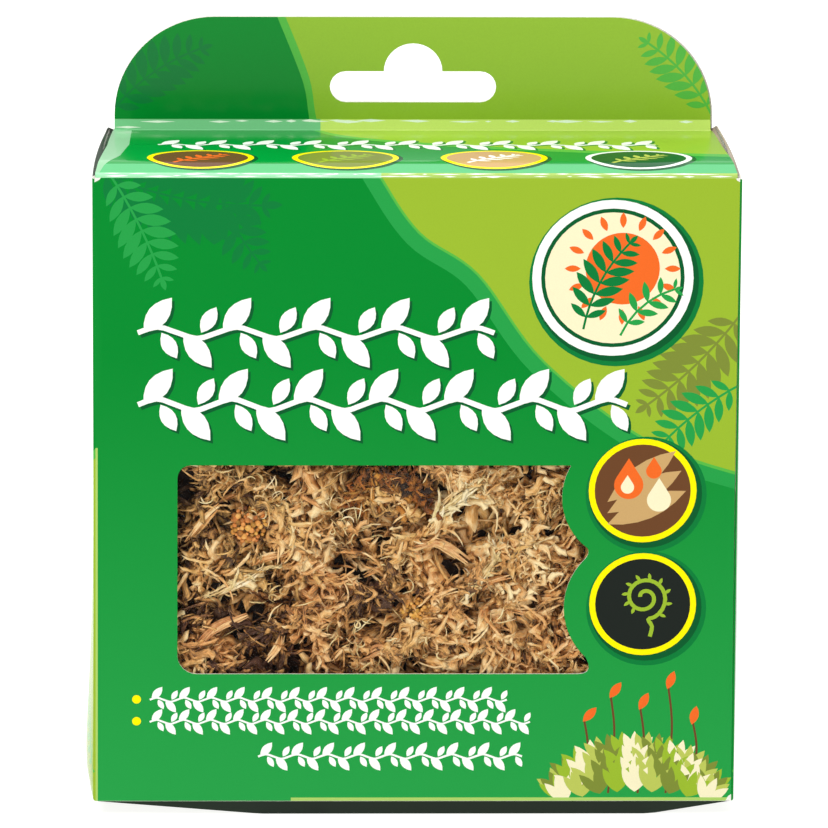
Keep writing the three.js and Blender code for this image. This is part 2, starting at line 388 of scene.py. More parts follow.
@dataclass(frozen=True)
class DriedMoss:
    """Dried sphagnum tissue: matt, papery, streaked lengthwise, straw to red-brown.

    tint runs from shaded to light and warmth from grey straw to pinkish brown; both are
    attributes of each branchlet. grain holds millimetres round and along the branchlet, and the colour
    darkens towards each branchlet's root as painted shade.
    """

    name: str
    slot: str
    cool: tuple[str, str, str]
    warm: tuple[str, str, str]
    roughness: float = 0.72
    streak_mm: float = 0.28
    patch_mm: float = 2.2

    def build(self) -> Material:
        """Builds the material.

        Returns:
            The material.
        """
        mat, shader, add = new_material(self.name)
        tint, warmth = (add(ATTRIBUTE, out="Fac", attribute_name=name) for name in ("tint", "warmth"))
        grain = add(ATTRIBUTE, out="Vector", attribute_name="grain")
        stretched = add(VECTOR_MATHS, {0: grain, 1: (1.0, 0.16, 1.0)}, operation="MULTIPLY")
        streak = add(NOISE, {"Vector": stretched, "Scale": 1 / self.streak_mm, "Detail": 3.0})
        place = add(COORDS, out="Object")
        patch = add(NOISE, {"Vector": place, "Scale": 1 / (self.patch_mm * MM), "Detail": 2.0})
        lift = add(MATHS, {0: streak, 1: 1.1, 2: -0.55}, operation="MULTIPLY_ADD")
        spot = add(MATHS, {0: patch, 1: 1.0, 2: -0.5}, operation="MULTIPLY_ADD")
        reach = add("ShaderNodeSeparateXYZ", {"Vector": grain}, out="Y")
        # painted shade: darker towards each branchlet's root, lighter towards its tip
        root = add(MAP_RANGE, {"Value": reach, "From Max": 7.0, "To Min": -0.2, "To Max": 0.16})
        along = add(MATHS, {0: spot, 1: root}, operation="ADD")
        light = add(MATHS, {0: tint, 1: lift}, operation="ADD")
        level = add(MATHS, {0: light, 1: along}, operation="ADD", use_clamp=True)
        pair = []
        for tones in (self.cool, self.warm):
            pair.append(add(RAMP, {"Fac": level}))
            elements = pair[-1].node.color_ramp.elements
            elements.new(0.42)
            for element, tone in zip(elements, tones, strict=True):
                element.color = linear(tone)
        mixed = add("ShaderNodeMix", {"Factor": warmth, 6: pair[0], 7: pair[1]}, 2, data_type="RGBA")
        bump = add(BUMP, {"Height": streak, "Strength": 0.4, "Distance": 0.2 * MM})
        feed(shader, {"Base Color": mixed, "Normal": bump, "Roughness": self.roughness})
        return mat


class Moss(Enum):
    """The clump's kinds of tissue, each as its finish; SHADE is a dark finish that paints the shade inside
    the clump.
    """

    TAN = DriedMoss(
        "dried_leafy_sphagnum", "tan_moss",
        ("#4A2E14", "#E4B264", "#FFE9B4"), ("#4C2610", "#E29C56", "#FFDCA2"),
    )
    PALE = DriedMoss(
        "bleached_sphagnum", "pale_moss",
        ("#846436", "#E8D08E", "#FFF3CE"), ("#8E5C2C", "#E6BC7C", "#FDE8C0"),
    )
    BROWN = DriedMoss(
        "brown_sphagnum", "brown_moss",
        ("#38220F", "#C08A4C", "#F0CC8C"), ("#40200F", "#CC7E46", "#F2C084"),
    )
    AMBER = DriedMoss(
        "stained_sphagnum", "brown_moss",
        ("#241303", "#8E5816", "#D89A40"), ("#281204", "#985014", "#DE8C30"), 0.8,
    )
    BUDS = DriedMoss(
        "dried_bud_grains", "amber_buds",
        ("#6A4210", "#D8A03E", "#F8CC74"), ("#743A12", "#DE8A40", "#FAB468"),
    )
    # painted shade: a dark finish for the inner mass, which stands where the clump is in shade
    SHADE = DriedMoss(
        "inner_sphagnum", "brown_moss",
        ("#1A100B", "#3E281C", "#6A4A34"), ("#1E100A", "#46281A", "#744A30"),
    )


class Finishes:
    """Every material of the object, built once."""

    def __init__(self) -> None:
        """Builds the materials."""
        self.print = CoatedBoard("varnished_printed_boxboard", gloss=0.05).build()
        self.lid_print = CoatedBoard("glossy_printed_boxboard", gloss=0.16).build()
        self.liner = BareBoard("grey_board_liner", "#CFCABC", "#9C9788").build()
        self.edge = BareBoard("cut_board_edge", "#F1EFE8", "#D8D4C8", fleck_mm=0.3).build()
        self.film = ClearFilm().build()
        self.moss = {kind: kind.value.build() for kind in Moss}


# ---- print drawing


@dataclass
class Region:
    """A closed outline filled with one ink; later regions lie over earlier ones."""

    outline: list[Point]
    ink: Ink


def arc(x: float, y: float, r: float, start: float, end: float, steps: int) -> list[Point]:
    """Points of an arc about (x, y), angles in degrees."""
    angles = [radians(start + (end - start) * i / steps) for i in range(steps + 1)]
    return [(x + r * cos(a), y + r * sin(a)) for a in angles]


def bent(start: Point, corner: Point, end: Point) -> list[Point]:
    """Points inside a corner that is rounded from start to end.

    Args:
        start: Where the rounding starts.
        corner: The sharp corner.
        end: Where it ends.

    Returns:
        The points.
    """
    ends = list(zip(start, corner, end, strict=True))
    return [
        tuple((1 - t) ** 2 * a + 2 * t * (1 - t) * c + t * t * b for a, c, b in ends)
        for t in (0.2, 0.4, 0.6, 0.8)
    ]


def disc(x: float, y: float, r: float, steps: int = 44) -> list[Point]:
    """A full circle's outline."""
    return arc(x, y, r, 0, 360, steps)[:-1]


def leaf(x: float, y: float, length: float, width: float, angle: float) -> list[Point]:
    """A pointed leaf that grows from (x, y) towards angle, in degrees.

    Args:
        x: Its foot, across.
        y: Its foot, upwards.
        length: From foot to tip.
        width: Its widest part.
        angle: Its direction from rightwards.

    Returns:
        Its outline.
    """
    c, s = cos(radians(angle)), sin(radians(angle))
    shares = [i / 6 for i in range(7)]
    right = [(t * length, -width / 2 * sin(pi * t) ** 0.85) for t in shares[:-1]]
    left = [(t * length, width / 2 * sin(pi * t) ** 0.85) for t in reversed(shares[1:])]
    return [(x + u * c - v * s, y + u * s + v * c) for u, v in right + left]


def drop(x: float, y: float, size: float) -> list[Point]:
    """A water drop with its point up."""
    r = size / 2
    return arc(x, y, r, -210, 30, 18) + [(x, y + 1.9 * r)]


def stroke(line: Sequence[Point], width: float) -> list[Point]:
    """The outline of a line of even width.

    Args:
        line: The line.
        width: Its width.

    Returns:
        The outline.
    """
    left, right = [], []
    for i, (x, y) in enumerate(line):
        x0, y0 = line[max(i - 1, 0)]
        x1, y1 = line[min(i + 1, len(line) - 1)]
        size = hypot(x1 - x0, y1 - y0)
        nx, ny = -(y1 - y0) / size * width / 2, (x1 - x0) / size * width / 2
        left.append((x + nx, y + ny))
        right.append((x - nx, y - ny))
    return right + left[::-1]


def curve(points: Sequence[Point], steps: int = 6) -> list[Point]:
    """A smooth line through points.

    Args:
        points: The points.
        steps: How many parts each stretch between two of them has.

    Returns:
        The line.
    """

    def between(a: float, b: float, c: float, d: float, t: float) -> float:
        """The value at t from b to c, where a comes before them and d after."""
        level, turn = 2 * b + (c - a) * t, (2 * a - 5 * b + 4 * c - d) * t * t
        return 0.5 * (level + turn + (3 * b - a - 3 * c + d) * t**3)

    ends, line = [points[0], *points, points[-1]], []
    for i in range(len(points) - 1):
        rows = list(zip(*ends[i : i + 4], strict=True))
        line += [tuple(between(*row, k / steps) for row in rows) for k in range(steps)]
    return [*line, points[-1]]


def rectangle(x0: float, y0: float, x1: float, y1: float) -> list[Point]:
    """An upright rectangle."""
    return [(x0, y0), (x1, y0), (x1, y1), (x0, y1)]


def rounded(x0: float, y0: float, x1: float, y1: float, r: float) -> list[Point]:
    """A rectangle with round corners."""
    corners = ((x1 - r, y0 + r, -90), (x1 - r, y1 - r, 0), (x0 + r, y1 - r, 90), (x0 + r, y0 + r, 180))
    return [point for x, y, start in corners for point in arc(x, y, r, start, start + 90, 6)]


def moved(outline: Iterable[Point], dx: float, dy: float) -> list[Point]:
    """The outline shifted by (dx, dy)."""
    return [(x + dx, y + dy) for x, y in outline]


class Drawing(list[Region]):
    """A print in the making: inked regions, from the lowest to the highest."""

    def fill(self, ink: Ink, *outlines: list[Point]) -> None:
        """Adds outlines in one ink."""
        self.extend(Region(outline, ink) for outline in outlines)

    def box(self, ink: Ink, *corners: float) -> None:
        """Adds an upright rectangle."""
        self.fill(ink, rectangle(*corners))

    def add(self, other: "Drawing", place: Callable[[float, float], Point]) -> None:
        """Adds another drawing with each of its points moved."""
        for region in other:
            self.fill(region.ink, [place(*point) for point in region.outline])

    def frond(self, x: float, y: float, length: float, angle: float, bend: float, ink: Ink) -> None:
        """Adds a fern frond: a bent midrib with pairs of leaflets that shrink to its tip.

        Args:
            x: Across, at its foot.
            y: Up, at its foot.
            length: Its length.
            angle: Where its foot points, in degrees.
            bend: How far it turns to its tip.
            ink: Its ink.
        """
        pairs = max(5, int(length / 3.2))
        line, heading = [(x, y)], radians(angle)
        for i in range(pairs):
            x += length / pairs * cos(heading)
            y += length / pairs * sin(heading)
            line.append((x, y))
            size = length * 0.30 * sin(pi * (0.16 + 0.80 * (i + 1) / (pairs + 1)))
            for side in (-58, 58):
                self.fill(ink, leaf(x, y, size, size * 0.34, degrees(heading) + side))
            heading += radians(bend) / pairs
        self.fill(ink, leaf(x, y, length * 0.12, length * 0.05, degrees(heading)), stroke(line, 0.6))

    def garland(
        self, x0: float, x1: float, y: float, size: float, ink: Ink, shadow: Ink | None = None
    ) -> None:
        """Adds a running vine with leaves above and below, over an optional soft shadow.

        Args:
            x0: Its left end.
            x1: Its right end.
            y: Its height.
            size: The size of its leaves.
            ink: Its ink.
            shadow: The shadow's ink, if any.
        """
        count = int((x1 - x0) / (size * 0.62))
        step, rise = (x1 - x0) / count, size * 0.10
        vine = [(x0 + step * i / 2, y + rise * sin(pi * i / 2)) for i in range(2 * count + 1)]
        shapes = [stroke(curve(vine, 3), size * 0.09)]
        for i in range(count):
            side = -1 if i % 2 else 1
            x = x0 + step * (i + 0.15)
            shapes.append(leaf(x, y, size * 0.78, size * 0.36, side * 52))
            shapes.append(leaf(x + step * 0.45, y, size * 0.52, size * 0.26, -side * 60))
        if shadow:
            self.fill(shadow, *(moved(shape, 0.7, -0.8) for shape in shapes))
        self.fill(ink, *shapes)

    def medallion(self, x: float, y: float, r: float, rim: Ink, ground: Ink) -> None:
        """Adds a ringed disc."""
        self.fill(rim, disc(x, y, r))
        self.fill(ground, disc(x, y, r * 0.89))

    def roundel(self, x: float, y: float, r: float, rim: Ink, ground: Ink) -> None:
        """Adds a ringed disc over a soft shadow.

        Args:
            x: Its centre, across.
            y: Its centre, upwards.
            r: Its radius.
            rim: The ring's ink.
            ground: The ink inside.
        """
        self.fill(Ink.SHADE_GREEN, disc(x + 0.9, y - 1.1, r + 1.7))
        self.fill(Ink.DEEP_GREEN, disc(x + 0.7, y - 0.8, r + 0.7))
        self.medallion(x, y, r, rim, ground)

    def sun_medallion(self, x: float, y: float, r: float) -> None:
        """Adds a cream medallion with an orange sun behind a fern.

        Args:
            x: Its middle, across.
            y: Its middle, up.
            r: Its radius.
        """
        self.roundel(x, y, r, Ink.WHITE, Ink.DEEP_GREEN)
        self.fill(Ink.CREAM, disc(x, y, r * 0.84))
        sun = (x + r * 0.12, y + r * 0.12)
        self.fill(Ink.ORANGE, disc(*sun, r * 0.46))
        rays = 16
        for i, foot in enumerate(arc(*sun, r * 0.52, 0, 360, rays)[:-1]):
            self.fill(Ink.ORANGE, leaf(*foot, r * 0.2, r * 0.085, 360 * i / rays))
        self.frond(x - r * 0.36, y - r * 0.66, r * 1.25, 78, -34, Ink.SHADE_GREEN)
        self.frond(x + r * 0.1, y - r * 0.74, r * 0.92, 62, -50, Ink.SOFT_GREEN)

    def fiddlehead(self, x: float, y: float, r: float, ink: Ink) -> None:
        """Adds a curled fern shoot with small leaflets on its outer side.

        Args:
            x: Its middle, across.
            y: Its middle, up.
            r: Its radius.
            ink: Its ink.
        """
        turns = [(i / 40, radians(-80 + 610 * i / 40)) for i in range(41)]
        line = [(x + r * (1 - 0.82 * t) * cos(a), y + r * (1 - 0.82 * t) * sin(a)) for t, a in turns]
        stem = [(x + r * 0.25, y - r * 1.75), (x + r * 0.34, y - r * 1.3)]
        self.fill(ink, stroke(curve([*stem, *line[:3]], 3) + line[3:], r * 0.17))
        for i in range(0, 22, 2):
            self.fill(ink, leaf(*line[i], r * 0.34, r * 0.15, degrees(turns[i][1]) + 25))

    def moss_mound(self, x: float, y: float, width: float, inks: Sequence[Ink]) -> None:
        """Adds a mound of moss tufts with orange spore capsules on thin stalks.

        Args:
            x: Its middle, across.
            y: Its foot.
            width: Its width.
            inks: The tufts' inks, taken in turn.
        """
        rng = Random(11)
        for share, tip in ((-0.34, 0.5), (-0.17, 0.66), (0.02, 0.58), (0.2, 0.72), (0.36, 0.48)):
            foot, head = x + share * width, y + tip * width
            stalk = curve([(foot, y), (foot + 1.5, y + tip * width * 0.6), (foot + 0.5, head)])
            self.fill(Ink.BROWN, stroke(stalk, 0.55))
            self.fill(Ink.ORANGE, leaf(foot + 0.2, head - 0.6, 5.2, 2.3, 62 + 40 * share))
        for row in range(4):
            count = 15 - 2 * row
            for i in range(count):
                share = (i + 0.5) / count * 2 - 1
                top = sqrt(max(0.0, 1 - share * share)) * width * (0.36 - 0.075 * row)
                for lean in (60, 90, 120):
                    tilt = lean - share * 25 + rng.uniform(-8, 8)
                    tuft = leaf(x + share * width / 2, y + top - 5, 7.5, 2.5, tilt)
                    self.fill(inks[(row + i) % len(inks)], tuft)

    def cracks(self, ink: Ink, lines: Sequence[float], reach: float, width: float, share: float) -> None:
        """Adds pale slivers along scores, where the varnish has cracked and where painted glints stand for
        its highlights.

        Args:
            ink: Their ink.
            lines: The print coordinates that the slivers follow.
            reach: Half of the width that they spread over.
            width: Their greatest width.
            share: How much of the length they cover.
        """
        rng = Random(5)
        for line in lines:
            x = -reach + 2
            while x < reach - 4:
                long = rng.uniform(1.2, 9.0)
                if rng.random() < share:
                    y, end = line + rng.uniform(-0.12, 0.12), min(x + long, reach - 1)
                    self.sliver(ink, x, end, y, width * rng.uniform(0.5, 1.0))
                x += long + rng.uniform(0.6, 5.0)

    def sliver(self, ink: Ink, x0: float, x1: float, y: float, width: float) -> None:
        """Adds a level sliver, widest at its middle."""
        middle = (x0 + x1) / 2
        self.fill(ink, [(x0, y), (middle, y + width / 2), (x1, y), (middle, y - width / 2)])


# ---- folded board


@dataclass(frozen=True)
class FoldProfile:
    """A path of straight stretches and round folds in a plane.

    Attributes:
        start: Where the path begins.
        heading: Its first direction, in degrees.
        stretches: (length, turn in degrees) of each stretch; a turn of 0 is straight.
        first: The path coordinate at its start.
    """

    start: Point
    heading: float
    stretches: tuple[Pair, ...]
    first: float = 0.0

    def at(self, s: Array) -> tuple[Array, Array, Array]:
        """Places on the path.

        Args:
            s: Path coordinates.

        Returns:
            Both coordinates in the plane and the heading in radians, for each s.
        """
        a, b, angle = np.zeros_like(s), np.zeros_like(s), np.zeros_like(s)
        (px, py), h, s0 = self.start, radians(self.heading), self.first
        for i, (length, turn) in enumerate(self.stretches):
            last = i == len(self.stretches) - 1
            inside = (s >= s0 if i else s > -inf) & (s < inf if last else s < s0 + length)
            t, bend = s[inside] - s0, radians(turn)
            if turn:
                r = length / bend
                local = h + t / r
                a[inside], b[inside] = px + r * (np.sin(local) - sin(h)), py - r * (np.cos(local) - cos(h))
                angle[inside] = local
                px, py = px + r * (sin(h + bend) - sin(h)), py - r * (cos(h + bend) - cos(h))
                h += bend
            else:
                a[inside], b[inside], angle[inside] = px + t * cos(h), py + t * sin(h), h
                px, py = px + length * cos(h), py + length * sin(h)
            s0 += length
        return a, b, angle

    def folds(self, steps: int = 6) -> list[float]:
        """Path coordinates that cut each round fold into even steps.

        Args:
            steps: How many steps each fold has.

        Returns:
            The coordinates.
        """
        cuts, s0 = [], self.first
        for length, turn in self.stretches:
            if turn:
                cuts += [s0 + length * i / steps for i in range(steps + 1)]
            s0 += length
        return cuts

    @property
    def end(self) -> float:
        """The path coordinate at its end."""
        return self.first + sum(length for length, _ in self.stretches)


def fold(radius: float, turn: float) -> Pair:
    """A round fold as a stretch of a FoldProfile."""
    return (radius * abs(radians(turn)), turn)


Shape = Callable[[Array, Array], Array]


def counterclockwise(ring: list[Point]) -> list[Point]:
    """The ring, turned round if it runs clockwise."""
    area = sum(a[0] * b[1] - b[0] * a[1] for a, b in zip(ring, ring[1:] + ring[:1], strict=True))
    return ring if area > 0 else ring[::-1]


@dataclass
class PrintedPanel:
    """One panel of board: printed skin, grey inner skin and cut edges, as a closed shell.

    Attributes:
        outline: Its cut outline in the print's own plane.
        shape: Takes print coordinates to places on the printed skin.
        outward: 1 or -1, the side of the surface that the print is on.
        art: The print, from the lowest region to the highest.
        ground: The ink under the art.
        fade: The ink that the ground turns to at its lower end, if any; painted light that lightens the
            ground there.
        cutouts: Outlines that are cut away.
        cross_folds: Values of the second coordinate that folds need as mesh lines.
        along_folds: The same for the first coordinate.
        pitch: The spacing of the other mesh points.
        glossy: Whether the varnish is unrubbed, as on the lid and hanger.
    """

    name: str
    outline: list[Point]
    shape: Shape
    outward: int
    art: Sequence[Region] = ()
    ground: Ink = Ink.DARK_GREEN
    fade: Ink | None = None
    cutouts: Sequence[list[Point]] = ()
    cross_folds: Sequence[float] = ()
    along_folds: Sequence[float] = ()
    pitch: float = 4.0
    glossy: bool = False

    def _normals(self, u: Array, v: Array) -> Array:
        """Unit normals of the printed skin, pointing out of the carton.

        Args:
            u: How far right the points are.
            v: Their print heights.

        Returns:
            The normals.
        """
        reach = 0.02
        along = self.shape(u + reach, v) - self.shape(u - reach, v)
        up = self.shape(u, v + reach) - self.shape(u, v - reach)
        normals = np.cross(along, up) * self.outward
        return normals / np.linalg.norm(normals, axis=1, keepdims=True)

    def _partition(self) -> tuple[Array, Array, list[Ink]]:
        """Cuts the panel into triangles that each hold one ink.

        Returns:
            Print coordinates, triangles of their indices, and an ink for each triangle.
        """
        coords: list[Vector] = []
        loops: list[list[int]] = []
        for ring in [self.outline, *self.cutouts, *(r.outline for r in self.art)]:
            loops.append(list(range(len(coords), len(coords) + len(ring))))
            coords += [Vector(p) for p in counterclockwise(ring)]
        (x0, x1), (y0, y1) = ((min(values), max(values)) for values in zip(*self.outline, strict=True))
        lines = [((x0 - 1, value), (x1 + 1, value)) for value in self.cross_folds]
        lines += [((value, y0 - 1), (value, y1 + 1)) for value in self.along_folds]
        edges = [(len(coords) + 2 * i, len(coords) + 2 * i + 1) for i in range(len(lines))]
        coords += [Vector(end) for line in lines for end in line]
        rows = [*np.arange(y0 + self.pitch / 2, y1, self.pitch), *self.cross_folds]
        columns = [*np.arange(x0 + self.pitch / 2, x1, self.pitch), *self.along_folds]
        coords += [Vector((float(x), float(y))) for x, y in product(columns, rows)]
        made = geometry.delaunay_2d_cdt(coords, edges, loops, 0, 1e-5, True)
        points, _, triangles, _, _, sources = made
        holes = len(self.cutouts)
        inks = [self.ground] * (holes + 1) + [region.ink for region in self.art]
        kept = [
            (corners, inks[max(inside)])
            for corners, inside in zip(triangles, sources, strict=True)
            if 0 in inside and not any(0 < i <= holes for i in inside)
        ]
        used, indices = np.unique(np.array([corners for corners, _ in kept]), return_inverse=True)
        places = np.array([points[i][:] for i in used])
        return places, indices.reshape(-1, 3), [ink for _, ink in kept]

    def _colours(self, heights: Array, inks: list[Ink], count: int) -> Array:
        """The colour of each face corner.

        Args:
            heights: Print heights of the printed skin's corners.
            inks: The ink of each of its triangles.
            count: How many corners the whole shell has.

        Returns:
            Linear colours, first those of the printed skin and then bare board's.
        """
        tones = {ink: linear(ink.value) for ink in Ink}
        skin = np.repeat([tones[ink] for ink in inks], 3, axis=0)
        # painted light: the ground blends to the fade ink towards the lower end
        if self.fade is not None:
            share = np.clip((heights - heights.min()) / (np.ptp(heights) * FADE_SPAN), 0, 1)[:, None]
            blend = np.array(tones[self.fade]) * (1 - share) + np.array(tones[self.ground]) * share
            plain = np.repeat([ink is self.ground for ink in inks], 3)
            skin[plain] = blend[plain]
        rest = np.tile(tones[Ink.BARE], (count - len(skin), 1))
        return np.concatenate([skin, rest]).astype(np.float32)

    def build(self, finishes: Finishes) -> Piece:
        """Makes the panel's mesh.

        Args:
            finishes: The materials.

        Returns:
            The new piece, at the origin.
        """
        flat, triangles, inks = self._partition()
        outer, normals = self.shape(*flat.T), self._normals(*flat.T)
        a, b, c = (outer[triangles[:, k]] for k in range(3))
        facing = np.einsum("ij,ij->i", np.cross(b - a, c - a), normals[triangles[:, 0]])
        triangles = np.where(facing[:, None] < 0, triangles[:, ::-1], triangles)
        sides = np.concatenate([triangles[:, [0, 1]], triangles[:, [1, 2]], triangles[:, [2, 0]]])
        _, first, times = np.unique(np.sort(sides, axis=1), axis=0, return_index=True, return_counts=True)
        start, end = sides[first[times == 1]].T  # the rim's edges belong to one triangle only
        count = len(outer)
        walls = np.stack([start, start + count, end + count, end], 1)
        faces = [*triangles.tolist(), *(triangles[:, ::-1] + count).tolist(), *walls.tolist()]
        places = np.concatenate([outer, outer - normals * BOARD]) * MM
        mesh = bpy.data.meshes.new(self.name)
        mesh.from_pydata(places.tolist(), [], faces, shade_flat=False)
        skin = finishes.lid_print if self.glossy else finishes.print
        for material in (skin, finishes.liner, finishes.edge):
            mesh.materials.append(material)
        kinds = [0] * len(triangles) + [1] * len(triangles) + [2] * len(walls)
        mesh.polygons.foreach_set("material_index", kinds)
        rim = np.cross(outer[end] - outer[start], normals[start])
        rim /= np.maximum(np.linalg.norm(rim, axis=1, keepdims=True), 1e-9)
        skins = (normals[triangles.ravel()], -normals[triangles[:, ::-1].ravel()])
        corner_normals = np.concatenate([*skins, np.repeat(rim, 4, axis=0)])
        mesh.normals_split_custom_set(corner_normals.tolist())
        layer = mesh.color_attributes.new("ink", "FLOAT_COLOR", "CORNER")
        colours = self._colours(flat[triangles.ravel(), 1], inks, len(corner_normals))
        layer.data.foreach_set("color", colours.ravel())
        return placed(self.name, mesh)


# ---- carton


@dataclass(frozen=True)
class CartonSizes:
    """Main planes of the carton in millimetres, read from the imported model.

    Heights are print heights, which start at the foot of the flat walls.
    """

    half_width: float
    half_depth: float
    wall_top: float
    lid_top: float
    score_top: float
    lid_front: float
    lid_rear: float
    hanger_half: float
    hanger_top: float
    ply_front: float
    bulge: float

    @classmethod
    def from_frame(cls) -> "CartonSizes":
        """Reads the sizes.

        Returns:
            The sizes.
        """
        nodes = ("front_panel", "back_panel", "right_side_panel", "lid_panel")
        (_, front), (_, back), (_, side), (lid_low, lid_high) = (box_mm(node) for node in nodes)
        strip, _ = box_mm("hanger_score_strip")
        ply_low, ply_high = box_mm("hanger_front_ply")
        return cls(
            half_width=front.x, half_depth=back.y, wall_top=front.z - FOOT_RISE,
            lid_top=lid_low.z + BOARD - FOOT_RISE, score_top=strip.z + BOARD - FOOT_RISE,
            lid_front=lid_high.x, lid_rear=ply_high.x + 0.4, hanger_half=ply_high.x,
            hanger_top=ply_high.z - FOOT_RISE, ply_front=ply_low.y, bulge=side.x - front.x,
        )


@dataclass(frozen=True)
class WindowCut:
    """The window: straight on three sides, with two lobes let into its right side.

    A lobe is its centre and radius; the cusp between them and the foot, which is the lower
    right corner, are each a point and how much of the line about it is rounded.
    """

    left: float = -60.9
    top: float = 90.4
    bottom: float = 34.5
    top_radius: float = 3.4
    bottom_radius: float = 5.0
    upper_lobe: Triple = (54.9, 81.9, 17.2)
    lower_lobe: Triple = (57.0, 52.4, 18.6)
    cusp: Triple = (45.0, 66.9, 1.4)
    foot: Pair = (46.5, 4.4)

    @staticmethod
    def _lobe(lobe: Triple, start: float, end: float) -> list[Point]:
        """The left side of a lobe, from one height down to another.

        Args:
            lobe: Its centre and radius.
            start: The upper height.
            end: The lower height.

        Returns:
            The points.
        """
        x, y, r = lobe
        first, last = (180 - degrees(asin((level - y) / r)) for level in (start, end))
        return arc(x, y, r, first, last, 14)

    def outline(self) -> list[Point]:
        """The cut line.

        Returns:
            Its outline, which starts at the top of the upper lobe.
        """
        low, high = self.bottom_radius, self.top_radius
        cusp_x, cusp_y, half = self.cusp
        foot_x, round_off = self.foot
        upper = self._lobe(self.upper_lobe, self.top, cusp_y + half)
        lower = self._lobe(self.lower_lobe, cusp_y - half, self.bottom + round_off)
        end = (foot_x - round_off, self.bottom)
        line = [*upper, *bent(upper[-1], (cusp_x, cusp_y), lower[0]), *lower]
        line += [*bent(lower[-1], (foot_x, self.bottom), end), end]
        line += arc(self.left + low, self.bottom + low, low, 270, 180, 6)
        return line + arc(self.left + high, self.top - high, high, 180, 90, 5)


@dataclass(frozen=True)
class HangSlot:
    """The hanging slot: a long slot with round ends and a dome over its middle."""

    width: float = 43.2
    height: float = 8.2
    rise: float = 8.0
    dome_width: float = 15.2
    dome_rise: float = 7.4

    def outline(self, foot: float) -> list[Point]:
        """The cut line, for a hanger that starts at the height foot.

        Args:
            foot: Where the hanger starts.

        Returns:
            The points of the outline.
        """
        r = self.height / 2
        low, reach = foot + self.rise, self.width / 2 - r
        wide = self.dome_width / 2
        dome = [(x, low + self.height + y * self.dome_rise / wide) for x, y in arc(0, 0, wide, 0, 180, 18)]
        return arc(reach, low + r, r, -90, 90, 10) + dome + arc(-reach, low + r, r, 90, 270, 10)


